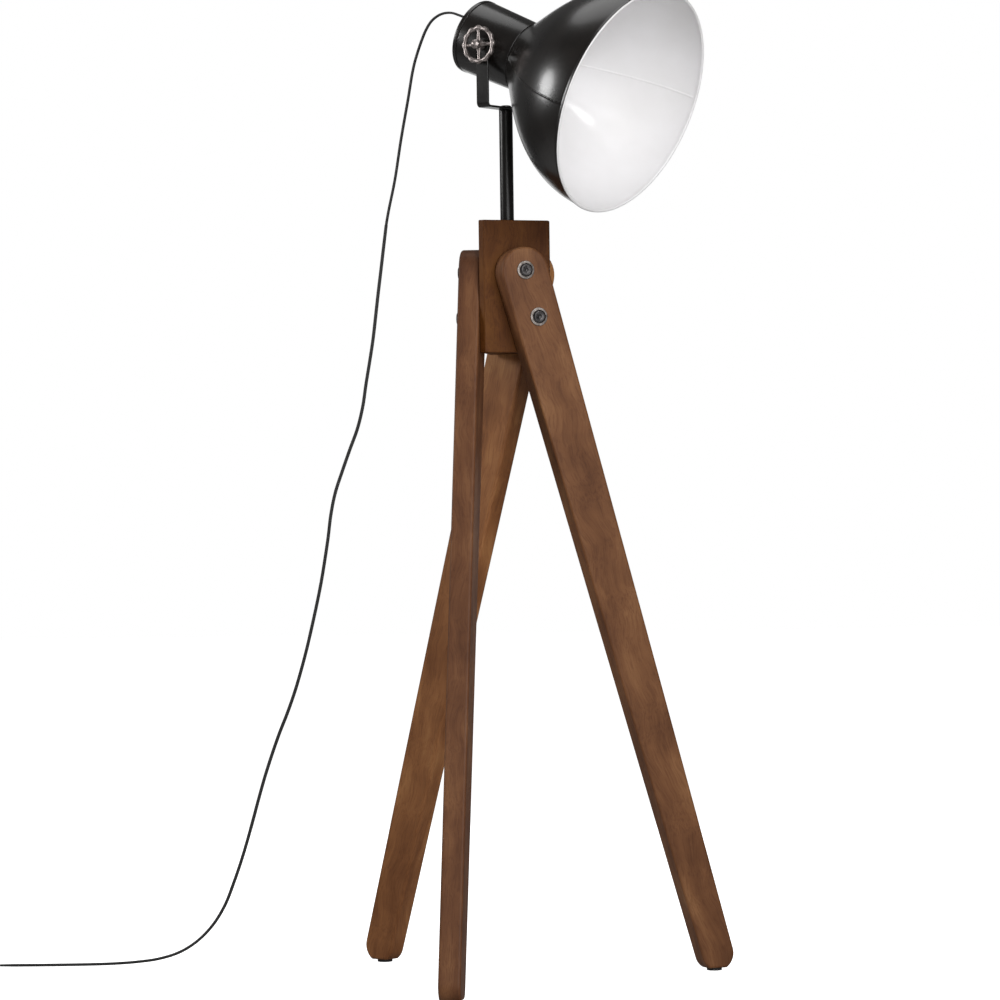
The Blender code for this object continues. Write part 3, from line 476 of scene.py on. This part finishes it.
def layLead(settings):
    glandEnd = exitPoint + exitWay * clearance
    fixed = [lampAxis + point for point in settings["route"]]
    route = [glandEnd, glandEnd + exitWay * settings["exitLength"], *fixed]
    coilLow = float(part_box("cord_coil")[0][2]) + settings["width"] / 2 + 0.0001
    coil = coilTurns(settings, middle("cord_coil"), coilLow)
    plugBack = middle("plug_body")
    plugBack[1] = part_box("plug_body")[1][1] + clearance
    tail = [coil[-1] + [0, -0.010, -0.0006], plugBack + [0, 0.006, 0], plugBack]
    free = smoothPath(route, 0.006)
    cut = int(np.argmin(np.abs(runAlong(free) - settings["splitAt"])))
    lower = smoothPath([*free[cut::6], *coil[::3], *tail], 0.0045)
    upper = smoothPath([*free[:cut:3], lower[0]], 0.004)
    # each turn fades in over a stretch of height, or of distance to the left of the lamp
    down = fade(-lower[:, 2], -1.25, 0.3)
    onFloor = fade(-lower[:, 2], -0.25, 0.2)
    coiled = fade(-lower[:, 0], 0.80 - lampAxis[0], 0.04)
    twist = (down * radians(settings["upperTwist"]) - onFloor * radians(settings["floorTwist"])
             - coiled * radians(settings["coilTwist"]))
    level = np.zeros(len(upper))
    top = piece("leadUpper", [twinLead(upper, level, settings)], looks["leadSheath"], None)
    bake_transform(top)
    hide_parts("cord_tube")
    bottom = piece("leadLower", [twinLead(lower, twist, settings)], looks["leadSheath"], None)
    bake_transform(bottom)
    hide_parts("cord_tube", "cord_coil")
    lengths = round(pathLength(upper), 3), round(pathLength(lower), 3)
    print("lead laid, metres above and below the split:", *lengths)


plug = {
    "along": [0, 0.02, 0.10, 0.24, 0.32, 0.40, 0.50, 0.60, 0.68, 0.80, 0.93, 0.98, 1.0],
    "wide": [0.15, 0.19, 0.21, 0.24, 0.27, 0.42, 0.76, 0.95, 0.99, 1.0, 0.985, 0.95, 0.86],
    "tall": [0.40, 0.46, 0.50, 0.57, 0.62, 0.76, 0.92, 0.985, 1.0, 1.0, 0.98, 0.92, 0.80],
    "rows": 60,
    "columns": 48,
    "squareness": 0.55,  # 1 is an ellipse, and less is squarer
}


def powered(values, power):
    # each value's size raised to a power, with its sign kept
    return np.sign(values) * np.abs(values) ** power


def makePlug(settings):
    # a flat body whose section is a rounded rectangle that swells from the lead to the pin face
    low, high = (np.array(corner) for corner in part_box("plug_body"))
    back = np.array([(low[0] + high[0]) / 2, high[1], (low[2] + high[2]) / 2])
    length, halfWidth = high[1] - low[1], (high[0] - low[0]) / 2
    halfHeight = (high[2] - low[2]) / 2 - 0.0001
    fine = np.linspace(0, 1, settings["rows"])
    wide = np.interp(fine, settings["along"], settings["wide"]) * halfWidth
    tall = np.interp(fine, settings["along"], settings["tall"]) * halfHeight
    angles = around(settings["columns"])
    x = back[0] + wide[:, None] * powered(np.cos(angles), settings["squareness"])
    y = np.repeat((back[1] - fine * length)[:, None], settings["columns"], 1)
    z = back[2] + tall[:, None] * powered(np.sin(angles), settings["squareness"])
    grid = np.stack([x, y, z], -1)
    return piece("plugShell", [shell(grid)], looks["leadSheath"], "stand", ["plug_body"])


strain = {
    "length": 0.022,
    "collar": 0.0065,
    "tip": 0.0050,
    "bore": 0.0032,
    "stem": 0.0045,
    "stemLength": 0.005,
    "rings": 5,
    "ringDepth": 0.0007,
    "behindTilt": 0.059,
    "aboveTilt": 0.020,
}
glandBack = pivot - headWay * strain["behindTilt"] + headUp * strain["aboveTilt"]
exitPoint = glandBack - headWay * strain["length"]
exitWay = -headWay


def makeStrainRelief(settings):
    # a tapered sleeve whose radius dips at even rings
    run = np.linspace(0, 1, 81)
    taper = settings["collar"] + (settings["tip"] - settings["collar"]) * fade(run, 0.3, 0.7)
    ringed = (np.abs(np.cos(np.pi * settings["rings"] * run)) < 0.35) * (run > 0.25) * (run < 0.95)
    radii = taper - settings["ringDepth"] * ringed
    outer = np.stack([radii, clearance + run * (settings["length"] - clearance)], -1)
    bore, stem, end = settings["bore"], settings["stem"], -settings["stemLength"]
    inner = np.array([[bore, settings["length"]], [bore, end], [stem, end], [stem, clearance]])
    line = np.vstack([outer, inner])
    grid = turned(glandBack, -headWay, headUp, line[:, 0], line[:, 1], around(40))
    piece("strainRelief", [shell(grid, closeRows=True)], looks["rubber"], "head", ["cord_gland"],
          50)


makeStrainRelief(strain)
plugPiece = makePlug(plug)
layLead(lead)

# ---------- tripod ----------

leg = {
    "topWidth": 0.077,
    "footWidth": 0.0537,
    "thickness": 0.034,
    "ease": 0.004,
    "topDrop": 0.003,  # from the upper bolt down to the round top's centre
    "flatAt": 0.0043,
}
middleOfRod = middle("rod_tube")


def arcPoints(centre, radius, start, end, steps):
    # points on a circle from one angle to another
    angles = np.linspace(start, end, steps + 1)
    return np.stack([centre[0] + radius * np.cos(angles), centre[1] + radius * np.sin(angles)], -1)


def makeLeg(name, settings, paintedLightScale, shift):
    # a tapered plank outline with a round top and a round foot cut flat, carried through
    # the thickness
    upper, lower = middle(f"washer_{name}_upper"), middle(f"washer_{name}_lower")
    outward = unit(upper - middle(f"insert_{name}_upper"))
    up = unit(upper - lower)
    across = np.cross(up, outward)
    lean = np.arccos(up[2])
    foot = settings["footWidth"] / 2
    length = (upper[2] - foot) / up[2]
    down = -(np.pi / 2 + lean)
    flat = np.arccos((foot - settings["flatAt"]) / foot)
    outline = np.vstack([
        arcPoints((0, -settings["topDrop"]), settings["topWidth"] / 2, np.pi, 0, 48),
        arcPoints((0, -length), foot, 0, down + flat, 20),
        arcPoints((0, -length), foot, down - flat, -np.pi, 12),
    ])
    fromHub = np.dot(upper - middleOfRod, outward) - hubReach(outward) - clearance
    hubFace = upper - outward * fromHub
    flatPoints = hubFace + outline[:, :1] * across + outline[:, 1:] * up
    grid = np.stack([flatPoints, flatPoints + outward * settings["thickness"]])
    turn = Matrix(np.stack([across, -outward, up], -1).tolist()).to_euler("XYZ")
    look = wood(f"wood_{name}", hubFace, turn, paintedLightScale, shift)
    made = piece(f"plank_{name}", [shell(grid)], look, "stand", [f"leg_{name}"], 60)
    edge = made.modifiers.new("easedEdges", "BEVEL")
    edge.width = settings["ease"]
    edge.segments = 6
    edge.limit_method = "ANGLE"
    edge.angle_limit = radians(70)
    edge.harden_normals = False


def hubReach(outward):
    # how far the hub's corners reach from its axis along a direction
    mesh = frame["nodes"]["hub_block"].data
    corners = np.empty(len(mesh.vertices) * 3)
    mesh.vertices.foreach_get("co", corners)
    return float(((corners.reshape(-1, 3) - middleOfRod) @ outward).max())


fixing = {
    "head": 0.0103,
    "headHeight": 0.0035,
    "headEase": 0.0016,
    "faceInset": 0.0022,
    "shank": 0.004,
    "shankLength": 0.052,
    "washer": 0.014,
    "washerBore": 0.0044,
    "washerHeight": 0.0016,
    "socket": 0.0026,
    "socketMouth": 0.0034,
    "socketDepth": 0.003,
    "columns": 96,
}


def makeFixings(name, level, settings):
    # a low round head with a six-sided socket, on a washer with a worn edge
    seat = middle(f"washer_{name}_{level}")
    outward = unit(seat - middle(f"insert_{name}_{level}"))
    across = unit(np.cross(outward, [0, 0, 1]))
    half = settings["washerHeight"] / 2
    rim, bore = settings["washer"], settings["washerBore"]
    ring = [(bore, -half), (rim, -half), (rim, half), (bore, half)]
    ringShell = lathePiece(seat, outward, across, ring, 0.0007, settings["columns"], closed=True)
    piece(f"washerRing_{name}_{level}", [ringShell], looks["wornSteel"], "stand",
          [f"washer_{name}_{level}"])
    base = half + clearance
    top = base + settings["headHeight"]
    head, shank = settings["head"], settings["shank"]
    angles = around(settings["columns"])
    line = softened([
        (shank, -settings["shankLength"]),
        (shank, base),
        (head, base),
        (head, top - settings["headEase"]),
        (head - settings["faceInset"], top),
        (settings["socketMouth"], top),
    ], 0.0006)
    outer = turned(seat, outward, across, line[:, 0], line[:, 1], angles)
    hole = sixSided(settings["socket"], angles)
    rows = np.stack([hole, hole, hole * 0.6])
    depths = np.array([0.0003, settings["socketDepth"], settings["socketDepth"] + 0.0006])
    inner = turned(seat, outward, across, rows, top - depths, angles)
    piece(f"socketBolt_{name}_{level}", [shell(np.concatenate([outer, inner]))], looks["darkSteel"],
          "stand", [f"bolt_{name}_{level}"])


def makeFoot(name):
    low, high = (np.array(corner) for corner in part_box(f"foot_pad_{name}"))
    radius = (high[0] - low[0]) / 2
    centre = (low + high) / 2 * [1, 1, 0]
    outline = [(0.0002, 0), (radius, 0), (radius, high[2]), (0.0002, high[2])]
    disc = lathePiece(centre, [0, 0, 1], [1, 0, 0], outline, 0.0008, 64)
    piece(f"padDisc_{name}", [disc], looks["rubber"], "stand", [f"foot_pad_{name}"])


# each board's painted light scale on its wood shades, which brightens the back leg as painted light
# and darkens the left leg and the hub as painted shade, its shift along the grain, and the hub's
# sheen
woodPaintedLightAndShift = {
    "front": ((1.04, 0.97, 0.78), 0.0),
    "back": ((1.50, 1.40, 1.05), 3.1),
    "left": ((0.82, 0.72, 0.58), 7.7),
    "hub": ((0.58, 0.44, 0.17), 12.4, 0.15),
}
for name in ("front", "back", "left"):
    paintedLightScale, shift = woodPaintedLightAndShift[name]
    makeLeg(name, leg, paintedLightScale, shift)
    makeFixings(name, "upper", fixing)
    makeFixings(name, "lower", fixing)
    makeFoot(name)
print("tripod made")


def recolour(look, *names):
    for name in names:
        mesh = frame["nodes"][name].data
        mesh.materials.clear()
        mesh.materials.append(look)


# the hub's wood shades are darkened as painted shade, with a lower sheen
recolour(wood("wood_hub", middleOfRod, (0, 0, 0.4), *woodPaintedLightAndShift["hub"]), "hub_block")
recolour(looks["zincSteel"], "rod_top_nut", "rod_bottom_nut", "hub_washer", "pan_washer",
         "holder_bracket", "stud_nut_near", "stud_nut_far", "tilt_stud_near", "tilt_stud_far",
         "plug_pin_left", "plug_pin_right")
inserts = [name for name in frame["nodes"] if name.startswith("insert_")]
recolour(looks["brass"], "centre_contact", *inserts)
recolour(looks["darkSteel"], "hub_bolt", "pan_screw")
recolour(looks["rubber"], "fibre_washer_near", "fibre_washer_far", "cord_tie")

# ---------- rod and yoke ----------


def makeRod():
    low, high = (np.array(corner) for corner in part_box("rod_tube"))
    radius = (high[0] - low[0]) / 2
    foot = np.array([*middleOfRod[:2], low[2]])
    height = high[2] - low[2]
    bore = radius - 0.0015
    outline = [(bore, 0), (radius, 0), (radius, height), (bore, height)]
    sleeve = lathePiece(foot, [0, 0, 1], [1, 0, 0], outline, 0.0004, 96, closed=True)
    piece("rodSleeve", [sleeve], looks["yokePaint"], "stand", ["rod_tube"])


yoke = {
    "half": 0.0597,
    "thickness": 0.0032,
    "width": 0.0217,
    "corner": 0.006,
    "edge": 0.0005,
    "narrowest": 0.0012,
    "endSteps": 24,
    "bendSteps": 10,
}


def makeYoke(settings):
    # a flat strip with half-round ends, bent into a U; each row is a rectangle with eased edges
    base = np.array([*pivot[:2], joints["head_pan"]["pos_m"][2]])
    rise = pivot[2] - base[2]
    half = settings["half"] + settings["thickness"] / 2
    low = settings["thickness"] / 2 + clearance
    bend, end = settings["corner"], settings["width"] / 2
    angles = np.linspace(np.pi / 2, 0, settings["endSteps"] + 1)[:-1]
    tipWidth = np.maximum(end * np.cos(angles), settings["narrowest"])
    tip = np.stack([np.full(len(angles), -half), rise + end * np.sin(angles), tipWidth], -1)
    left = arcPoints((-half + bend, low + bend), bend, np.pi, 1.5 * np.pi, settings["bendSteps"])
    arm = np.array([[-half, rise, end]])
    first = np.vstack([tip, arm, np.column_stack([left, np.full(len(left), end)])])
    path = np.vstack([first, first[::-1] * [-1, 1, 1]])
    way = unit(np.gradient(path[:, :2], axis=0))
    outside = np.stack([-way[:, 1], way[:, 0]], -1)
    edge = settings["edge"]
    thick = settings["thickness"] / 2
    side = [(-edge, -thick), (0, -thick + edge), (0, thick - edge), (-edge, thick)]
    corners = np.array([(-1, *point) for point in side] + [(1, *point) for point in side[::-1]])
    x = corners[:, 0] * (path[:, 2:3] + corners[:, 1])
    y = path[:, :1] + outside[:, :1] * corners[:, 2]
    z = path[:, 1:2] + outside[:, 1:] * corners[:, 2]
    upright = np.array([0, 0, 1.0])
    grid = base + x[..., None] * panWay + y[..., None] * farSide + z[..., None] * upright
    piece("yokeStrip", [shell(grid)], looks["yokePaint"], "yoke", ["yoke_strap"], 32)


makeRod()
makeYoke(yoke)
print("rod and yoke made")

# ---------- head ----------

bowl = {
    "neck": 0.0463,
    "rim": 0.248,
    "neckRadius": 0.0545,
    "radius": 0.175,
    "wall": 0.001,
    "rows": 90,
    "columns": 220,
    "bead": 0.0022,
    "beadRise": 0.001,
    "beadSteps": 18,
    "blackBeadRows": 6,
    "collar": 0.016,
    "collarInset": 0.0015,
    "collarWall": 0.001,
    "seams": (96, 276),  # degrees round the head's axis
    "seamHeight": 0.0008,
    "seamWidth": 0.0013,
    "seamInside": -0.9,
    "seamRipple": 900,
}


def bowlRadius(share, settings):
    # from neck to rim the radius grows as (1 - (1 - share)^2.2)^1.25
    grown = (1 - (1 - share) ** 2.2) ** 1.25
    return settings["neckRadius"] + (settings["radius"] - settings["neckRadius"]) * grown


def makeBowl(settings):
    # outer and inner walls are one closed turned shell with a rolled rim; a weld line runs down
    # two opposite sides
    share = np.linspace(0, 1, settings["rows"])
    heights = settings["neck"] + (settings["rim"] - settings["neck"]) * share
    outer = np.stack([bowlRadius(share, settings), heights], -1)
    way = unit(np.gradient(outer, axis=0))
    inner = outer + np.stack([-way[:, 1], way[:, 0]], -1) * settings["wall"]
    beadAt = (settings["radius"], settings["rim"] + settings["beadRise"])
    bead = arcPoints(beadAt, settings["bead"], -np.pi / 3, np.pi, settings["beadSteps"])
    neckIn = settings["neckRadius"] - settings["collarInset"]
    bore = neckIn - settings["collarWall"]
    low = settings["neck"] - settings["collar"]
    collar = np.array([(bore, low), (neckIn, low), (neckIn, settings["neck"])])
    last = [(bore, settings["neck"] + 0.001)]
    line = np.vstack([collar, outer[:-1], bead, inner[-2:0:-1], last])
    beadStart = len(collar) + len(outer) - 1
    white = np.zeros(len(line), bool)
    white[beadStart + settings["blackBeadRows"]:] = True
    seams = [radians(seam) for seam in settings["seams"]]
    near = np.linspace(-0.06, 0.06, 49)
    angles = np.concatenate([around(settings["columns"]), *(seam + near for seam in seams)])
    angles = np.unique(np.round(angles, 5))
    away = np.min([np.abs(angles - seam) for seam in seams], axis=0)
    arcAway = away[None, :] * line[:, :1]
    weld = np.exp(-((arcAway / settings["seamWidth"]) ** 2)) * settings["seamHeight"]
    weld = weld * (0.75 + 0.25 * np.sin(line[:, 1:] * settings["seamRipple"]))
    onWall = np.zeros(len(line))
    onWall[len(collar) + 3:beadStart - 2] = 1
    onWall[beadStart + len(bead) + 1:-4] = settings["seamInside"]
    radii = line[:, :1] + weld * onWall[:, None]
    grid = turned(pivot, headWay, headUp, radii, line[:, 1], angles)
    made = piece("bowlShell", [shell(grid, closeRows=True)], looks["glossPaint"], "head",
                 ["shade_bowl"], 50)
    made.data.materials.append(looks["enamel"])
    rowOf = np.repeat(np.arange(len(line)), len(angles))
    made.data.polygons.foreach_set("material_index", white[rowOf].astype(np.int32))


housing = {
    "rear": -0.059,
    "front": 0.046,
    "rearRadius": 0.0575,
    "frontRadius": 0.0545,
    "wall": 0.0012,
    "lip": 0.008,
    "step": 0.001,
    "coverWall": 0.0024,
    "dish": 0.0012,
    "bead": 0.0009,
    "columns": 160,
}


def makeHousing(settings):
    wall, step = settings["wall"], settings["step"]
    rear, front = settings["rear"], settings["front"]
    wide, narrow = settings["rearRadius"], settings["frontRadius"]
    columns, lip = settings["columns"], rear + settings["lip"]
    outline = [
        (wide, lip + step),
        (narrow, front),
        (narrow - wall, front),
        (wide - wall - step, rear + 0.0016),
        (wide - step, rear + 0.0016),
        (wide - step, lip + step),
    ]
    tube = lathePiece(pivot, headWay, headUp, outline, 0.0005, columns, closed=True)
    piece("housingTube", [tube], looks["glossPaint"], "head", ["lamp_housing"])
    # the cover's face is slightly dished near its edge
    outer, inner = wide + 0.0005, wide - 0.0007
    dished, back = rear + settings["dish"], rear + settings["coverWall"]
    outline = [
        (0.0002, rear),
        (outer - 0.012, rear),
        (outer - 0.009, dished),
        (outer - 0.004, dished),
        (outer - 0.002, rear),
        (outer, rear + 0.002),
        (outer, lip),
        (inner, lip),
        (inner, back),
        (0.0002, back),
    ]
    cover = lathePiece(pivot, headWay, headUp, outline, 0.0012, columns)
    piece("rearCover", [cover], looks["glossPaint"], "head", ["rear_cap"])
    angles = np.linspace(0, tau, 17)[:-1]
    radii = narrow + 0.0004 + settings["bead"] * np.cos(angles)
    heights = front + 0.0006 + settings["bead"] * np.sin(angles)
    grid = turned(pivot, headWay, headUp, radii, heights, around(columns))
    piece("neckBead", [shell(grid, closeRows=True)], looks["glossPaint"], "head", ())


holder = {
    "back": -0.042,
    "mouth": 0.050,
    "stem": 0.005,
    "stemLength": 0.006,
    "bore": 0.0045,
    "body": 0.0165,
    "shoulder": 0.0185,
    "mouthRadius": 0.0205,
    "socket": 0.0172,
    "floor": 0.012,
    "threadRadius": 0.0162,
    "threadWall": 0.0005,
    "threadPitch": 0.0036,
    "threadDepth": 0.0006,
    "threadFrom": 0.016,
    "threadTo": 0.046,
}


def makeHolder(settings):
    # the screw shell's radius swings as the cosine of height over pitch less the angle
    base = pivot + headWay * settings["back"]
    bore, stem, stemEnd = settings["bore"], settings["stem"], -settings["stemLength"]
    socket, floor, mouth = settings["socket"], settings["floor"], settings["mouth"]
    outline = [
        (bore, stemEnd),
        (stem, stemEnd),
        (stem, clearance),
        (settings["body"], clearance),
        (settings["shoulder"], 0.004),
        (settings["mouthRadius"], mouth),
        (socket, mouth),
        (socket, floor),
        (bore, floor),
    ]
    body = lathePiece(base, headWay, headUp, outline, 0.0006, 96, closed=True)
    piece("holderBody", [body], looks["phenolic"], "head", ["lampholder"])
    angles = around(72)
    heights = np.linspace(settings["threadFrom"], settings["threadTo"], 140)
    phase = tau * heights[:, None] / settings["threadPitch"] - angles[None, :]
    radii = settings["threadRadius"] + settings["threadDepth"] * np.cos(phase)
    outer = turned(base, headWay, headUp, radii, heights, angles)
    back = (radii - settings["threadWall"])[::-1]
    inner = turned(base, headWay, headUp, back, heights[::-1], angles)
    threaded = shell(np.concatenate([outer, inner]), closeRows=True)
    piece("screwShell", [threaded], looks["brass"], "head", ["screw_shell"])


makeBowl(bowl)
makeHousing(housing)
makeHolder(holder)
print("head made")

# ---------- wheel knobs ----------

wheel = {
    "start": 0.0635,  # from the tilt axis' middle, along the stud
    "rimAt": 0.0075,
    "radius": 0.0288,
    "lobe": 0.0010,
    "lobes": 12,
    "rim": 0.0066,
    "thickness": 0.0070,
    "squareness": 0.8,
    "spokes": 4,
    "spokeWidth": 0.0044,
    "spokeStart": 0.004,
    "bore": 0.0044,
    "boss": 0.0082,
    "length": 0.013,
    "nut": 0.0068,
    "columns": 240,
}


def makeWheel(side, way, settings):
    # the rim is a ring whose section swells at each lobe; the spokes are round bars that flare
    # into the boss
    across = np.array([0, 0, 1.0])
    other = np.cross(way, across)
    base = pivot + way * settings["start"]
    centre = pivot + way * (settings["start"] + settings["rimAt"])
    angles = around(settings["columns"])
    section = np.linspace(0, tau, 25)[:-1]
    lobes = np.cos(settings["lobes"] * angles)
    swell = settings["lobe"] * 0.5 * lobes
    mid = settings["radius"] - settings["rim"] / 2 + swell
    reach = settings["rim"] / 2 + swell
    high = settings["thickness"] / 2 * (1 + 0.05 * lobes)
    radii = mid + reach * powered(np.cos(section), settings["squareness"])[:, None]
    lift = high * powered(np.sin(section), settings["squareness"])[:, None]
    circle = np.cos(angles)[:, None] * across + np.sin(angles)[:, None] * other
    rim = centre + radii[..., None] * circle + lift[..., None] * way
    shells = [shell(rim, closeRows=True)]
    run = np.linspace(0, 1, 24)
    flare = settings["spokeWidth"] / 2 * (1 + 1.1 * (1 - run) ** 3 + 0.35 * run**4)
    spokeLength = settings["radius"] - settings["rim"] - 0.001
    for spokeAngle in around(settings["spokes"]):
        out = np.cos(spokeAngle) * across + np.sin(spokeAngle) * other
        beside = np.cross(way, out)
        line = centre + (settings["spokeStart"] + run * spokeLength)[:, None] * out
        turn = around(20)
        ring = np.cos(turn)[:, None] * beside + 0.85 * np.sin(turn)[:, None] * way
        shells.append(shell(line[:, None] + flare[:, None, None] * ring[None]))
    bore, boss, length = settings["bore"], settings["boss"], settings["length"]
    outline = [
        (bore, 0.0002),
        (boss, 0.0002),
        (boss, 0.006),
        (boss - 0.0018, 0.0105),
        (boss - 0.0022, length),
        (bore, length),
    ]
    shells.append(lathePiece(base, way, across, outline, 0.0010, 64, closed=True))
    piece(f"wheel_{side}", shells, looks["pewter"], f"knob_{side}", [f"knob_wheel_{side}"],
          40)
    angles = around(96)
    sides = sixSided(settings["nut"], angles)
    flat = np.ones(96)
    rows = np.stack([
        flat * bore,
        sides - 0.0004,
        sides,
        sides,
        np.minimum(sides, 0.0067),
        flat * 0.0058,
        flat * 0.0044,
        flat * 0.0022,
        flat * 0.0002,
    ])
    rise = np.array([0, 0, 0.0005, 0.0045, 0.0054, 0.0064, 0.0078, 0.0086, 0.0089])
    cap = turned(base, way, across, rows, length + clearance + rise, angles)
    piece(f"domeNut_{side}", [shell(cap)], looks["pewter"], f"knob_{side}", [f"knob_nut_{side}"],
          30)


makeWheel("near", -farSide, wheel)
makeWheel("far", farSide, wheel)
print("wheel knobs made")

# ---------- floor and light ----------


floorSize = 14.0
floorHeight = -0.0004


def cameraSees(tree, seen, otherwise, surface):
    # the camera meets one shader and every other ray meets the second
    ray = addNode(tree, "ShaderNodeLightPath")
    both = addNode(tree, "ShaderNodeMixShader", {0: ray.outputs["Is Camera Ray"]})
    tree.links.new(otherwise.outputs[0], both.inputs[1])
    tree.links.new(seen.outputs[0], both.inputs[2])
    tree.links.new(both.outputs[0], surface)


def makeFloor():
    mesh = bpy.data.meshes.new("paleFloor")
    sides = [(-1, -1), (1, -1), (1, 1), (-1, 1)]
    corners = [(x * floorSize, y * floorSize, floorHeight) for x, y in sides]
    mesh.from_pydata(corners, [], [(0, 1, 2, 3)])
    made, tree, shader = newMaterial("paleFloor")
    shader.inputs["Base Color"].default_value = (0.86, 0.86, 0.86, 1)
    shader.inputs["Roughness"].default_value = 0.9
    shader.inputs["Specular IOR Level"].default_value = 0.1
    shader.inputs["Emission Color"].default_value = (1, 1, 1, 1)
    shader.inputs["Emission Strength"].default_value = 1.0
    dim = addNode(tree, "ShaderNodeBsdfDiffuse", {"Color": (0.5, 0.5, 0.5, 1)})
    cameraSees(tree, shader, dim, tree.nodes["Material Output"].inputs["Surface"])
    mesh.materials.append(made)
    floor = bpy.data.objects.new("paleFloor", mesh)
    bpy.context.scene.collection.objects.link(floor)


# each light's place and size, and its radiance
lamps = {
    "keyLeft": {"place": (-2.51, 0.0, 1.91), "size": 0.95, "glow": 13.0},
    "rightFront": {"place": (1.85, -2.45, 2.34), "size": 0.5, "glow": 26.0},
    "front": {"place": (1.0, -3.8, 3.1), "size": 3.2, "glow": 3.0},
    "lowFront": {"place": (1.2, -3.4, 1.0), "size": 2.6, "glow": 3.3},
    "overhead": {"place": (-0.45, 0.5, 3.4), "size": 1.5, "glow": 1.7},
    "behind": {"place": (0.0, 2.8, 1.2), "size": 2.2, "glow": 1.0},
}


aim = np.array([0.0, 0.0, 1.1])  # the point that every light faces


def makeLights(settings):
    # power is radiance times pi times the disc's area
    for name, light in settings.items():
        data = bpy.data.lights.new(name, "AREA")
        data.shape = "DISK"
        data.size = light["size"]
        data.energy = light["glow"] * np.pi * np.pi * (light["size"] / 2) ** 2
        made = bpy.data.objects.new(name, data)
        made.visible_camera = False
        bpy.context.scene.collection.objects.link(made)
        place = np.array(light["place"])
        away = unit(place - aim)
        side = unit(np.cross([0, 0, 1], away))
        turn = Matrix(np.stack([side, np.cross(away, side), away], -1).tolist()).to_4x4()
        made.matrix_world = Matrix.Translation(place) @ turn


def makeWorld():
    # a white room that lights the lamp only softly
    world = bpy.data.worlds.new("studio")
    world.use_nodes = True
    tree = world.node_tree
    seen = tree.nodes["Background"]
    seen.inputs["Color"].default_value = (1, 1, 1, 1)
    dim = addNode(tree, "ShaderNodeBackground", {"Color": (1, 1, 1, 1), "Strength": 0.10})
    cameraSees(tree, seen, dim, tree.nodes["World Output"].inputs["Surface"])
    bpy.context.scene.world = world
    bpy.context.scene.view_settings.view_transform = "Standard"


makeFloor()
makeWorld()
makeLights(lamps)
print("floor and lights set")
